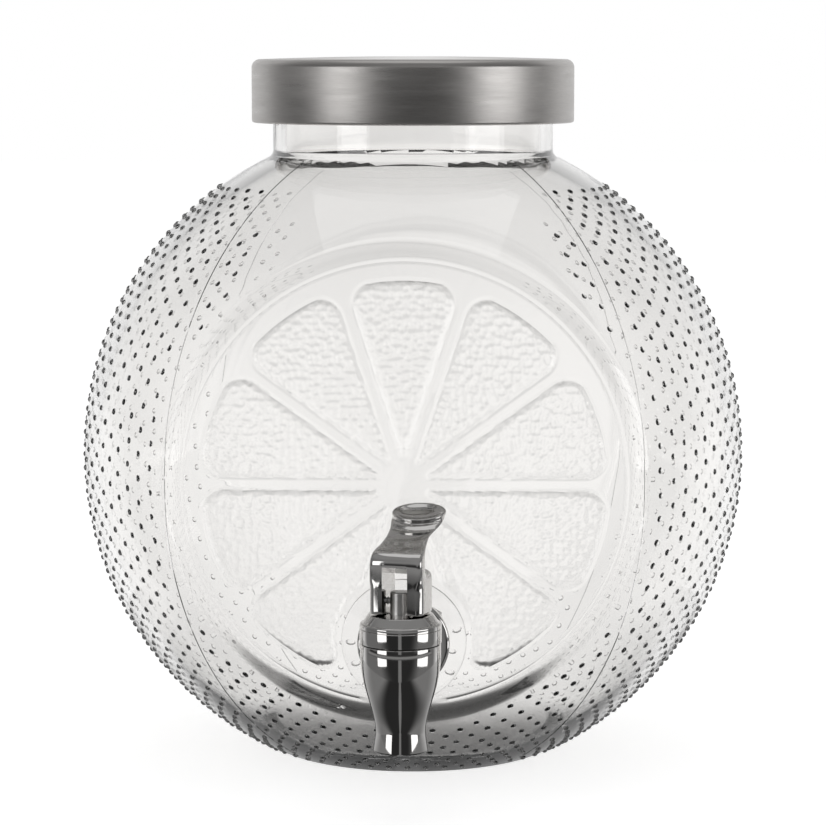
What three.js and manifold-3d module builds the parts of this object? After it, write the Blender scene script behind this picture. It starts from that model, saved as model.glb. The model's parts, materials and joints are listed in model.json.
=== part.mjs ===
// Glass drinks dispenser shaped like a citrus fruit, with a screw lid and a lever tap.
// Millimetres, +Z up. The origin is on the jar's axis, on the surface that the jar stands on.
// The front, with the embossed slice and the tap, faces -Y.

import * as THREE from 'three';
import { mergeVertices } from 'three/addons/utils/BufferGeometryUtils.js';
import Module from 'manifold-3d';

const wasm = await Module();
wasm.setup();

// Fits
const seatGap = 0.3; // between two pieces that seat on each other
const runGap = 0.3; // radial gap round what turns or slides
const cutOverrun = 3; // how far a cutter passes the face that it opens

// Glass jar
const ballRadius = 118;
const footCut = 11; // how much of the ball the flat foot cuts off
const faceCut = 31.3; // how much of it each flat face cuts off
const faceEdge = 6; // round between a flat face and the ball
const heelEdge = 8; // round between the base and the ball
const glassWall = 5;
const floorWall = 9;
const innerFaceEdge = 9;
const innerHeelEdge = 18;
const neckRadius = 50;
const neckWall = 4.5;
const neckFillet = 3;
const filletSink = 0.4; // how far under the ball's skin the fillet starts, for a clear cut line
const neckRise = 17.3; // rim above the ball's top
const lipEdge = 1.5;

// Slice embossed on the front face
const segmentCount = 10;
const sliceMargin = 9.66; // flat rind between the slice and the face's round edge
const membraneWidth = 2.6; // ridge between two segments
const pocketDepth = 1.2;
const pocketSlope = 0.8; // how far a pocket's floor is drawn in from its edge
const rindCorner = 9;
const coreCorner = 1.5;

// Round boss and hole for the tap
const tapMargin = 7.37; // flat glass inside the jar, between the rear washer and the face's round edge
const bossRadius = 21;
const bossProud = 0.6;
const holeGap = 0.6;

// Lid
const lidHeight = 23.4;
const lidCrown = 1;
const lidEdge = 3;
const shellWall = 0.7;
const hemHeight = 1.6;
const hemWidth = 0.8;
const linerWall = 3.9;
const linerTop = 2;
const linerChamfer = 2.4;
const threadRoom = 2.6; // between the neck and the liner, for the thread
const lidGasketThickness = 1.8;
const lidGasketWidth = 7.5;

// Tap body: a barrel that narrows to the nozzle, a neck, a flange and a shank
const tapReach = 28; // barrel's axis to the face that the flange's washer rests on
const barrelTop = 4.8; // joint line under the bonnet, above the shank's axis
const barrelStraight = 3.8; // straight wall under the joint line
const waistWall = 3.15;
const waistDrop = 24.5; // below the shank's axis
const waistPullShare = 0.3; // how far up the cone the waist's line holds
const shoulderPullShare = 0.43;
const nozzleDrop = 30.8;
const nozzleWall = 2.2;
const nozzleLip = 0.6;
const spoutBore = 5.2;
const spoutMouth = 6.4;
const chamberRadius = 9.3;
const seatDrop = 8; // valve seat below the shank's axis
const collarHeight = 4.2;
const collarWall = 1.9;
const shankNeckRadius = 7.5;
const flangeRadius = 15.5;
const flangeThickness = 3;
const flangeChamfer = 1.2;
const shankRadius = 7.4;
const shankBore = 3.8;
const shankLength = 24; // from the flange's back to the free end

// Washers and nut that clamp the tap to the glass
const frontWasherThickness = 1.8;
const frontWasherRadius = 14.4;
const rearWasherThickness = 2;
const rearWasherRadius = 14;
const nutThickness = 8;
const nutAcrossFlats = 24;

// Bonnet
const bonnetWall = 1.9;
const bonnetProud = 0.2; // how far the ring stands out past the barrel
const bonnetCone = 2.6;
const bonnetTopRadius = 10.9;
const bonnetEdge = 1.2; // round above the ring
const bonnetChamfer = 0.4; // below it
const bonnetRoof = 3.9;
const bonnetGasketThickness = 1;
const oRingSection = 0.6;
const oRingSeatDepth = 1.8;

// Valve
const stemRadius = 3.4;
const stemTipRadius = 2.1;
const stemTipLength = 3.2;
const plugRadius = 7;
const plugHeight = 5;
const plugChamfer = 0.8;
const plugSocketGap = 0.3;
const shoulderRadius = 6.9;
const shoulderThickness = 1.4;
const shoulderRise = 0.5; // shoulder's underside above the shank's axis
const springRadius = 6;
const springWire = 0.4;
const springTurns = 4.5;
const stemRise = 3.2; // stem's top above the pin
const pinRadius = 1;

// Lever
const leverSwivel = THREE.MathUtils.degToRad(-16); // how far it is turned from the front
const leverThrow = THREE.MathUtils.degToRad(24);
const stemLift = 1.8; // rise of the stem over the whole throw
const pinHeight = 3.9; // pin above the lever's foot
const pinCover = 2.2; // wall past the blind end of the pin's hole, in the right cheek
const slotGap = 0.9; // between the stem and each cheek
const slotFrontHeight = 15.8; // roof of the slot above the foot, at the hub's front
const slotBackHeight = 11.6;
const hubHalfWidth = 9.3;
const hubFront = 6.4; // front of the hub ahead of the pin
const hubBack = 7.2;
const hubCorner = 3;
const cheekHeight = 15.4;
const cheekRound = 6.5; // upper back corner of the cheeks
const padHeight = 30.7; // middle of the thumb pad above the foot
const padReach = 19.5; // middle of the thumb pad behind the pin
const padHalfWidth = 9.3;
const padHalfDepth = 7.3;
const padThickness = 4.6;
const padTilt = THREE.MathUtils.degToRad(15.5);

// Facets
const outerSides = 52;
const innerSides = 40;
const lidSides = 48;
const tapSides = 28;
const boreSides = 20;
const pinSides = 14;
const ballSteps = 12;
const edgeSteps = 3;
const crownSteps = 2;
const pocketArcSteps = 2;
const curveSteps = 8;
const springSteps = 10; // for each turn
const wireSides = 6;
const leverSides = 32;
const cornerSteps = 2; // for each quarter of the lever's upright corners
const mergeShare = 1e-6; // vertices closer than this share of the ball are one

// Places that follow from the sizes
const ballHeight = ballRadius - footCut; // ball's centre above the table
const faceDepth = ballRadius - faceCut; // ball's centre to each flat face
const rimHeight = ballRadius + neckRise; // rim above the ball's centre
const sliceRadius = edgeOnBall(ballRadius, faceDepth, faceEdge).across - sliceMargin;
const innerFace = edgeOnBall(ballRadius - glassWall, faceDepth - glassWall, innerFaceEdge);
const tapDrop = innerFace.across - tapMargin - rearWasherRadius; // shank's axis below the ball's centre
const tapHeight = ballHeight - tapDrop;
const lidRadius = neckRadius + threadRoom + linerWall + seatGap + shellWall;
const rimZ = ballHeight + rimHeight;
const lidGasketZ = rimZ + seatGap;
const linerDiscZ = lidGasketZ + lidGasketThickness + seatGap;
const lidTopZ = linerDiscZ + linerTop + seatGap + shellWall + lidCrown;
const lidZ = lidTopZ - lidHeight;
const bossFace = faceDepth + bossProud;
const flangeBack = tapReach - seatGap - frontWasherThickness - seatGap; // from the barrel's axis
const tapAxisY = -(bossFace + tapReach);
const waistRadius = spoutBore + waistWall;
const nozzleRadius = spoutMouth + nozzleWall;
const collarTop = barrelTop + collarHeight;
const skirtBore = chamberRadius + collarWall + runGap;
const bonnetRadius = skirtBore + bonnetWall;
const barrelRadius = bonnetRadius - bonnetProud;
const bonnetZ = barrelTop + seatGap;
const bonnetCeiling = collarTop + seatGap + bonnetGasketThickness + seatGap;
const bonnetTop = bonnetCeiling + bonnetRoof;
const bonnetRingTop = bonnetTop - bonnetCone;
const stemBore = stemRadius + runGap;
const oRingSeatRadius = stemBore + 2 * oRingSection + seatGap;
const plugZ = seatGap - seatDrop;
const footZ = bonnetTop + seatGap;
const pinZ = footZ + pinHeight;
const pinBlindReach = hubHalfWidth - pinCover;
const camRate = stemLift / leverThrow;

// Turns a BufferGeometry into a solid, with its faces pointing out.
function solid(geometry) {
  const bare = geometry.clone();
  bare.deleteAttribute('normal');
  bare.deleteAttribute('uv');
  const merged = mergeVertices(bare, mergeShare * ballRadius);
  const points = merged.attributes.position.array;
  const corners = merged.index.array;
  const triangles = [];
  for (let i = 0; i < corners.length; i += 3) {
    const [a, b, c] = corners.slice(i, i + 3);
    if (a !== b && b !== c && c !== a) triangles.push(a, b, c);
  }
  if (signedVolume(points, triangles) < 0) triangles.reverse();
  const mesh = new wasm.Mesh({
    numProp: 3,
    vertProperties: new Float32Array(points),
    triVerts: new Uint32Array(triangles),
  });
  return new wasm.Manifold(mesh);
}

function signedVolume(points, triangles) {
  const corner = (index) => new THREE.Vector3().fromArray(points, 3 * index);
  let volume = 0;
  for (let i = 0; i < triangles.length; i += 3) {
    const [a, b, c] = [corner(triangles[i]), corner(triangles[i + 1]), corner(triangles[i + 2])];
    volume += a.dot(b.cross(c));
  }
  return volume;
}

function geometryOf(body) {
  const mesh = body.getMesh();
  const geometry = new THREE.BufferGeometry();
  geometry.setAttribute('position', new THREE.BufferAttribute(mesh.vertProperties, 3));
  geometry.setIndex(new THREE.BufferAttribute(mesh.triVerts, 1));
  geometry.computeVertexNormals();
  return geometry;
}

const profile = (pairs) => pairs.map(([across, along]) => new THREE.Vector2(across, along));

// Revolves a profile of [radius, height] pairs about Z.
function turned(pairs, sides) {
  return solid(new THREE.LatheGeometry(profile(pairs), sides).rotateX(Math.PI / 2));
}

// Revolves a profile of [radius, y] pairs about Y.
function turnedAlongY(pairs, sides) {
  return solid(new THREE.LatheGeometry(profile(pairs), sides));
}

const closed = (pairs) => [...pairs, pairs[0]];

function rod(radius, low, high) {
  return [[0, low], [radius, low], [radius, high], [0, high]];
}

function ring(inner, outer, low, high) {
  return closed([[inner, low], [outer, low], [outer, high], [inner, high]]);
}

// Points of an arc about a centre, from one angle to another, both ends included.
function arc(centre, radius, from, to, steps) {
  return Array.from({ length: steps + 1 }, (_, i) => {
    const angle = from + (to - from) * i / steps;
    return [centre[0] + radius * Math.cos(angle), centre[1] + radius * Math.sin(angle)];
  });
}

// Where a round edge leaves a flat face at a depth from a ball's centre, and where it meets the ball.
function edgeOnBall(radius, depth, edge) {
  const across = Math.sqrt((radius - edge) ** 2 - (depth - edge) ** 2);
  return { across, angle: Math.atan2(depth - edge, across) };
}

// A ball with two flat faces square to Y and a round edge about each.
function flattenedBall(radius, depth, edge, sides) {
  const { across, angle } = edgeOnBall(radius, depth, edge);
  const low = arc([across, edge - depth], edge, -Math.PI / 2, -angle, edgeSteps);
  const wall = arc([0, 0], radius, -angle, angle, ballSteps);
  const high = arc([across, depth - edge], edge, angle, Math.PI / 2, edgeSteps);
  return turnedAlongY([[0, -depth], ...low, ...wall.slice(1, -1), ...high, [0, depth]], sides);
}

// A solid that takes in the ball down to a flat foot with a round heel.
function footEnvelope(radius, drop, heel, sides) {
  const { across, angle } = edgeOnBall(radius, drop, heel);
  const round = arc([across, heel - drop], heel, -Math.PI / 2, -angle, edgeSteps);
  const wide = radius + cutOverrun;
  const [heelAcross, heelAlong] = round.at(-1);
  const wideAlong = heelAlong + (wide - heelAcross) / Math.tan(angle);
  const high = rimHeight + cutOverrun;
  return turned([[0, -drop], ...round, [wide, wideAlong], [wide, high], [0, high]], sides);
}

// A neck's wall from inside the ball to its top, with the fillet where it leaves the ball.
function neckWallProfile(ball, neck, top) {
  const sunk = ball - filletSink + neckFillet;
  const centre = [neck + neckFillet, Math.sqrt(sunk ** 2 - (neck + neckFillet) ** 2)];
  const meet = Math.atan2(-centre[1], -centre[0]);
  return [[0, 0], [neck, 0], ...arc(centre, neckFillet, meet, -Math.PI, edgeSteps), [neck, top]];
}

function neckOutside() {
  const top = rimHeight - lipEdge;
  const lip = arc([neckRadius - lipEdge, top], lipEdge, 0, Math.PI / 2, edgeSteps);
  const wall = neckWallProfile(ballRadius, neckRadius, top);
  return turned([...wall, ...lip.slice(1), [0, rimHeight]], outerSides);
}

function neckBore() {
  const bore = neckRadius - neckWall;
  const wall = neckWallProfile(ballRadius - glassWall, bore, rimHeight - lipEdge);
  const lip = arc([bore + lipEdge, rimHeight - lipEdge], lipEdge, Math.PI, Math.PI / 2, edgeSteps);
  const high = rimHeight + cutOverrun;
  return turned([...wall, ...lip.slice(1), [bore + lipEdge, high], [0, high]], innerSides);
}

// Outline of one slice segment about +Y: a wedge with a small inner and two wide outer corners.
function segmentShape() {
  const half = Math.PI / segmentCount;
  const side = membraneWidth / 2;
  const coreCentre = (side + coreCorner) / Math.sin(half);
  const rindCentre = sliceRadius - rindCorner;
  const rindAngle = half - Math.asin((side + rindCorner) / rindCentre);
  const rindX = rindCentre * Math.sin(rindAngle);
  const rindY = rindCentre * Math.cos(rindAngle);
  const up = Math.PI / 2;
  const shape = new THREE.Shape();
  shape.absarc(0, coreCentre, coreCorner, Math.PI + half, 2 * Math.PI - half, false);
  shape.absarc(rindX, rindY, rindCorner, -half, up - rindAngle, false);
  shape.absarc(0, 0, sliceRadius, up - rindAngle, up + rindAngle, false);
  shape.absarc(-rindX, rindY, rindCorner, up + rindAngle, Math.PI + half, false);
  return shape;
}

// One cutter for each segment's pocket; its walls slope in to the pocket's floor.
function slicePockets() {
  const pocket = new THREE.ExtrudeGeometry(segmentShape(), {
    depth: cutOverrun,
    curveSegments: pocketArcSteps,
    bevelThickness: pocketDepth,
    bevelSize: pocketSlope,
    bevelOffset: -pocketSlope,
    bevelSegments: 1,
  });
  const cutters = Array.from({ length: segmentCount }, (_, i) => {
    const turn = 2 * Math.PI * i / segmentCount;
    const placed = pocket.clone().rotateZ(turn).rotateX(Math.PI / 2).translate(0, -faceDepth, 0);
    return solid(placed);
  });
  return cutters.reduce((all, cutter) => all.add(cutter));
}

function tapBoss() {
  const back = -(faceDepth - glassWall / 2);
  return turnedAlongY(rod(bossRadius, -bossFace, back), innerSides).translate([0, 0, -tapDrop]);
}

function tapHole() {
  const back = -(faceDepth - glassWall - cutOverrun);
  const front = -(bossFace + cutOverrun);
  const hole = turnedAlongY(rod(shankRadius + holeGap, front, back), tapSides);
  return hole.translate([0, 0, -tapDrop]);
}

// The jar about the ball's centre.
function makeJar() {
  const innerRadius = ballRadius - glassWall;
  const outside = flattenedBall(ballRadius, faceDepth, faceEdge, outerSides)
    .intersect(footEnvelope(ballRadius, ballHeight, heelEdge, outerSides))
    .subtract(slicePockets())
    .add(neckOutside())
    .add(tapBoss());
  const inside = flattenedBall(innerRadius, faceDepth - glassWall, innerFaceEdge, innerSides)
    .intersect(footEnvelope(innerRadius, ballHeight - floorWall, innerHeelEdge, innerSides))
    .add(neckBore());
  return outside.subtract(inside).subtract(tapHole());
}

// Height of the domed lid at a radius, above the lid's lower edge.
function crownHeight(radius, top) {
  const flatRadius = lidRadius - lidEdge;
  return top - lidCrown * (radius / flatRadius) ** 2;
}

function crown(outerRadius, top) {
  return Array.from({ length: crownSteps + 1 }, (_, i) => {
    const radius = outerRadius * (1 - i / crownSteps);
    return [radius, crownHeight(radius, top)];
  });
}

// Pressed steel shell, with its lower edge turned in under the liner.
function makeLidShell() {
  const flatRadius = lidRadius - lidEdge;
  const edgeZ = lidHeight - lidCrown - lidEdge;
  const inner = lidRadius - shellWall;
  const insideEdge = arc([flatRadius, edgeZ], lidEdge - shellWall, 0, Math.PI / 2, edgeSteps);
  const outsideEdge = arc([flatRadius, edgeZ], lidEdge, 0, Math.PI / 2, edgeSteps);
  return turned([
    ...crown(flatRadius, lidHeight - shellWall).slice(1).reverse(),
    ...insideEdge.reverse(),
    [inner, hemHeight],
    [inner - hemWidth, hemHeight],
    [inner - hemWidth, 0],
    [lidRadius, 0],
    ...outsideEdge,
    ...crown(flatRadius, lidHeight).slice(1),
  ], lidSides);
}

// Plastic insert that holds the lid's thread, above the lid's lower edge.
function makeLidLiner() {
  const outer = lidRadius - shellWall - seatGap;
  const inner = neckRadius + threadRoom;
  const low = hemHeight + seatGap;
  const disc = linerDiscZ - lidZ;
  const top = disc + linerTop;
  return turned([
    [0, disc], [inner, disc], [inner, low], [outer, low],
    [outer, top - linerChamfer], [outer - linerChamfer, top], [0, top],
  ], lidSides);
}

function makeLidGasket() {
  const outer = neckRadius + threadRoom - seatGap;
  return turned(ring(outer - lidGasketWidth, outer, 0, lidGasketThickness), lidSides);
}

// The tap's pieces are about the barrel's axis and the shank's height, with the jar towards +Y.
function barrelOutline() {
  const shoulder = barrelTop - barrelStraight;
  const span = shoulder + waistDrop;
  const cone = new THREE.CubicBezierCurve(...profile([
    [waistRadius, -waistDrop],
    [waistRadius, waistPullShare * span - waistDrop],
    [barrelRadius, shoulder - shoulderPullShare * span],
    [barrelRadius, shoulder],
  ]));
  const lip = arc([nozzleRadius - nozzleLip, nozzleLip - nozzleDrop], nozzleLip, -Math.PI / 2, 0, edgeSteps);
  const collar = chamberRadius + collarWall;
  return [
    [0, -nozzleDrop], ...lip, ...cone.getPoints(curveSteps).map((point) => point.toArray()),
    [barrelRadius, barrelTop], [collar, barrelTop], [collar, collarTop], [0, collarTop],
  ];
}

function tapBores() {
  const bores = turned([
    [0, -nozzleDrop - cutOverrun], [spoutMouth, -nozzleDrop - cutOverrun], [spoutMouth, -nozzleDrop],
    [spoutBore, -waistDrop], [spoutBore, -seatDrop], [chamberRadius, -seatDrop],
    [chamberRadius, collarTop + cutOverrun], [0, collarTop + cutOverrun],
  ], tapSides);
  return bores.add(turnedAlongY(rod(shankBore, 0, flangeBack + shankLength + cutOverrun), boreSides));
}

function makeTapBody() {
  const flangeFront = flangeBack - flangeThickness;
  const bonnetRoom = turned(rod(bonnetRadius + seatGap, barrelTop, bonnetTop), tapSides);
  const neck = turnedAlongY(rod(shankNeckRadius, 0, flangeBack - flangeThickness / 2), tapSides);
  const flange = turnedAlongY([
    [0, flangeFront], [flangeRadius - flangeChamfer, flangeFront],
    [flangeRadius, flangeFront + flangeChamfer], [flangeRadius, flangeBack],
    [shankRadius, flangeBack], [shankRadius, flangeBack + shankLength], [0, flangeBack + shankLength],
  ], tapSides);
  return turned(barrelOutline(), tapSides)
    .add(neck.subtract(bonnetRoom))
    .add(flange)
    .subtract(tapBores());
}

function makeFrontWasher() {
  const back = tapReach - seatGap;
  const front = back - frontWasherThickness;
  return turnedAlongY(ring(shankRadius + seatGap, frontWasherRadius, front, back), tapSides);
}

const rearWasherFront = tapReach + bossProud + glassWall + seatGap;

function makeRearWasher() {
  const back = rearWasherFront + rearWasherThickness;
  return turnedAlongY(ring(shankRadius + seatGap, rearWasherRadius, rearWasherFront, back), tapSides);
}

function makeShankNut() {
  const front = rearWasherFront + rearWasherThickness + seatGap;
  const corner = nutAcrossFlats / 2 / Math.cos(Math.PI / 6);
  const hexagon = turnedAlongY(rod(corner, front, front + nutThickness), 6);
  const thread = rod(shankRadius + seatGap, front - cutOverrun, front + nutThickness + cutOverrun);
  return hexagon.subtract(turnedAlongY(thread, tapSides));
}

function makeBonnet() {
  const roundCentre = [bonnetRadius - bonnetEdge, bonnetRingTop - bonnetEdge];
  const round = arc(roundCentre, bonnetEdge, 0, Math.PI / 2, edgeSteps);
  return turned(closed([
    [stemBore, bonnetTop], [stemBore, bonnetCeiling + oRingSeatDepth],
    [oRingSeatRadius, bonnetCeiling + oRingSeatDepth], [oRingSeatRadius, bonnetCeiling],
    [skirtBore, bonnetCeiling], [skirtBore, bonnetZ], [bonnetRadius - bonnetChamfer, bonnetZ],
    [bonnetRadius, bonnetZ + bonnetChamfer], ...round, [bonnetTopRadius, bonnetTop],
  ]), tapSides);
}

function makeBonnetGasket() {
  const low = collarTop + seatGap;
  return turned(ring(chamberRadius, chamberRadius + collarWall, low, low + bonnetGasketThickness), tapSides);
}

function makeStemORing() {
  const middle = [stemBore + oRingSection, bonnetCeiling + oRingSeatDepth - seatGap - oRingSection];
  const section = arc(middle, oRingSection, 0, 2 * Math.PI, wireSides);
  return turned(closed(section.slice(0, -1)), boreSides);
}

// Rod with a shoulder for the spring, a tip for the plug and a cross hole for the lever's pin.
function makeValveStem() {
  const plugTop = plugZ + plugHeight;
  const top = pinZ + stemRise;
  const rodShape = turned([
    [0, plugTop - stemTipLength], [stemTipRadius, plugTop - stemTipLength],
    [stemTipRadius, plugTop + seatGap],
    [stemRadius, plugTop + seatGap], [stemRadius, shoulderRise], [shoulderRadius, shoulderRise],
    [shoulderRadius, shoulderRise + shoulderThickness], [stemRadius, shoulderRise + shoulderThickness],
    [stemRadius, top], [0, top],
  ], boreSides);
  return rodShape.subtract(pinHole(-stemRadius - cutOverrun, stemRadius + cutOverrun));
}

// A hole for the pin, along X, from one place to another.
function pinHole(from, to) {
  const cutter = new THREE.CylinderGeometry(pinRadius + runGap, pinRadius + runGap, to - from, pinSides);
  return solid(cutter.rotateZ(Math.PI / 2).translate((from + to) / 2, 0, pinZ));
}

function makeLeverPin() {
  const from = seatGap - hubHalfWidth;
  const to = pinBlindReach - seatGap;
  const pin = new THREE.CylinderGeometry(pinRadius, pinRadius, to - from, pinSides);
  return solid(pin.rotateZ(Math.PI / 2).translate((from + to) / 2, 0, pinZ));
}

// Rubber plug pushed on the stem's tip; its flat underside closes the seat.
function makeValvePlug() {
  const top = plugZ + plugHeight;
  const socket = stemTipRadius + plugSocketGap;
  const socketFloor = top - stemTipLength - seatGap;
  return turned([
    [0, plugZ], [plugRadius - plugChamfer, plugZ], [plugRadius, plugZ + plugChamfer], [plugRadius, top],
    [socket, top], [socket, socketFloor], [0, socketFloor],
  ], boreSides);
}

class Helix extends THREE.Curve {
  constructor(radius, low, high, turns) {
    super();
    Object.assign(this, { radius, low, high, turns });
  }

  getPoint(share, target = new THREE.Vector3()) {
    const angle = 2 * Math.PI * this.turns * share;
    const height = this.low + (this.high - this.low) * share;
    return target.set(this.radius * Math.cos(angle), this.radius * Math.sin(angle), height);
  }
}

function makeValveSpring() {
  const low = shoulderRise + shoulderThickness + seatGap + springWire;
  const high = bonnetCeiling - seatGap - springWire;
  const path = new Helix(springRadius, low, high, springTurns);
  const wire = new THREE.Shape().absarc(0, 0, springWire, 0, 2 * Math.PI, false);
  const steps = springTurns * springSteps;
  return solid(new THREE.ExtrudeGeometry(wire, { extrudePath: path, steps, curveSegments: wireSides / 2 }));
}

// The arm's cross-sections from the hub to the thumb pad, as shares of the named sizes: height of
// the pad's height, half width of the hub's, half depth of the pad's, lean of the pad's reach, and
// tilt of the pad's tilt. The last column is 1 for an ellipse and less for squarer corners.
const armSectionShares = [
  [0.33, 0.98, 0.42, -0.175, 0, 0.5],
  [0.505, 0.98, 0.42, -0.175, 0, 0.5],
  [0.577, 0.956, 0.43, -0.15, 0.05, 0.55],
  [0.645, 0.912, 0.47, -0.045, 0.15, 0.6],
  [0.713, 0.83, 0.55, 0.135, 0.35, 0.7],
  [0.779, 0.78, 0.63, 0.36, 0.6, 0.8],
  [0.831, 0.82, 0.71, 0.62, 0.8, 0.9],
  [0.876, 0.91, 0.76, 0.82, 1, 1],
  [0.92, 0.93, 0.78, 0.95, 1, 1],
];

// A cosine or sine raised to a power, with its sign kept, which squares off an ellipse.
const squared = (value, power) => Math.sign(value) * Math.abs(value) ** power;

// Closed loft of the arm, which rises over the slot and sweeps back to the pad.
function leverArm() {
  const points = armSectionShares.flatMap(([height, width, depth, lean, tilt, power]) => {
    const angle = padTilt * tilt;
    return Array.from({ length: leverSides }, (_, side) => {
      const round = 2 * Math.PI * side / leverSides;
      const across = hubHalfWidth * width * squared(Math.cos(round), power);
      const back = padHalfDepth * depth * squared(Math.sin(round), power);
      return [across, padReach * lean + back * Math.cos(angle), padHeight * height + back * Math.sin(angle)];
    }).flat();
  });
  return solid(closedLoft(points, leverSides, armSectionShares.length - 1));
}

// The foot's block with round upright corners and the cheeks' upper back corner rounded off.
function leverHub() {
  const [across, ahead, behind] = [hubHalfWidth - hubCorner, hubFront - hubCorner, hubBack - hubCorner];
  const quarter = Math.PI / 2;
  const plan = new THREE.Shape();
  plan.absarc(across, ahead, hubCorner, 0, quarter, false);
  plan.absarc(-across, ahead, hubCorner, quarter, 2 * quarter, false);
  plan.absarc(-across, -behind, hubCorner, 2 * quarter, 3 * quarter, false);
  plan.absarc(across, -behind, hubCorner, 3 * quarter, 4 * quarter, false);
  const column = new THREE.ExtrudeGeometry(plan, {
    depth: cheekHeight, bevelEnabled: false, curveSegments: cornerSteps,
  });
  const centre = [cheekRound - hubBack, cheekHeight - cheekRound];
  const round = arc(centre, cheekRound, quarter, 2 * quarter, edgeSteps + 1);
  const back = -(hubBack + cutOverrun);
  const over = cheekHeight + cutOverrun;
  const outline = [[back, centre[1]], [back, over], [centre[0], over], ...round];
  return solid(column.scale(1, -1, 1)).subtract(sideCut(outline, hubHalfWidth + cutOverrun));
}

// Joins rings of points into a closed skin, with a fan across each end.
function closedLoft(points, sides, steps) {
  const corners = [];
  for (let step = 0; step < steps; step += 1) {
    for (let side = 0; side < sides; side += 1) {
      const next = (side + 1) % sides;
      const [a, b] = [step * sides + side, step * sides + next];
      corners.push(a, b, b + sides, a, b + sides, a + sides);
    }
  }
  const last = steps * sides;
  for (let side = 1; side < sides - 1; side += 1) {
    corners.push(0, side + 1, side, last, last + side, last + side + 1);
  }
  const geometry = new THREE.BufferGeometry();
  geometry.setAttribute('position', new THREE.Float32BufferAttribute(points, 3));
  geometry.setIndex(corners);
  return geometry;
}

// Half outline of the thumb pad's section, as shares of its half width and of its thickness.
const padOutlineShares = [
  [0, -1], [0.4, -0.93], [0.75, -0.66], [0.95, -0.3], [1, -0.06],
  [0.96, 0.06], [0.87, 0.02], [0.7, -0.16], [0.4, -0.32], [0, -0.38],
];

function thumbPad() {
  const outline = padOutlineShares.map(([across, along]) => [across * padHalfWidth, along * padThickness]);
  const dish = new THREE.LatheGeometry(profile(outline), leverSides).rotateX(Math.PI / 2);
  dish.scale(1, padHalfDepth / padHalfWidth, 1);
  return solid(dish.rotateX(padTilt).translate(0, padReach, padHeight));
}

// Side view of what the bonnet's top sweeps from under the foot as the lever tips forward.
// The distance from the pin grows by the cam's rate, so the foot stays one gap above the bonnet.
function camCutter() {
  const outline = [[camRate, 0]];
  for (let step = 1; step <= curveSteps; step += 1) {
    const tip = leverThrow * step / curveSteps;
    const drop = pinHeight + camRate * tip;
    const forward = drop * Math.sin(tip) + camRate * Math.cos(tip);
    outline.push([forward, pinHeight - drop * Math.cos(tip) + camRate * Math.sin(tip)]);
  }
  const [lastForward, lastHeight] = outline.at(-1);
  const farForward = hubFront + cutOverrun;
  outline.push([farForward, lastHeight + (farForward - lastForward) * Math.tan(leverThrow)]);
  outline.push([farForward, -cutOverrun], [camRate, -cutOverrun]);
  return sideCut(outline, hubHalfWidth + cutOverrun);
}

// Slot for the stem, open in front, behind and below, with a roof that falls to the back.
function slotCutter() {
  const fall = (slotFrontHeight - slotBackHeight) / (hubFront + hubBack) * cutOverrun;
  const [front, back] = [hubFront + cutOverrun, -(hubBack + cutOverrun)];
  const outline = [[back, -cutOverrun], [front, -cutOverrun], [front, slotFrontHeight + fall]];
  return sideCut([...outline, [back, slotBackHeight - fall]], stemRadius + slotGap);
}

// Cuts along X from a side outline of [forward, height] pairs.
function sideCut(outline, half) {
  const shape = new THREE.Shape(outline.map(([forward, height]) => new THREE.Vector2(-forward, height)));
  const block = new THREE.ExtrudeGeometry(shape, { depth: 2 * half, bevelEnabled: false });
  return solid(block.translate(0, 0, -half).rotateY(Math.PI / 2).rotateX(Math.PI / 2).scale(-1, 1, 1));
}

function makeLever() {
  return leverHub()
    .add(leverArm())
    .add(thumbPad())
    .subtract(camCutter())
    .subtract(slotCutter())
    .translate([0, 0, footZ])
    .subtract(pinHole(-hubHalfWidth - cutOverrun, pinBlindReach));
}

// Colours and surfaces
const glass = { color: 0xf2f5f4, roughness: 0.04, metalness: 0, transparent: true, opacity: 0.35 };
const steel = { color: 0x8f8d8a, roughness: 0.35, metalness: 1 };
const chrome = { color: 0xc9cbcc, roughness: 0.08, metalness: 1 };
const spring = { color: 0xb0b2b4, roughness: 0.3, metalness: 1 };
const silicone = { color: 0xe8e8e4, roughness: 0.5, metalness: 0 };
const whitePlastic = { color: 0xeeeeea, roughness: 0.45, metalness: 0 };
const blackRubber = { color: 0x1c1c1c, roughness: 0.7, metalness: 0 };

function piece(name, body, surface) {
  const mesh = new THREE.Mesh(geometryOf(body), new THREE.MeshStandardMaterial(surface));
  mesh.name = name;
  return mesh;
}

function placed(meshes, x, y, z, turn = 0) {
  const group = new THREE.Group();
  group.add(...meshes);
  group.position.set(x, y, z);
  group.rotation.z = turn;
  return group;
}

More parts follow.
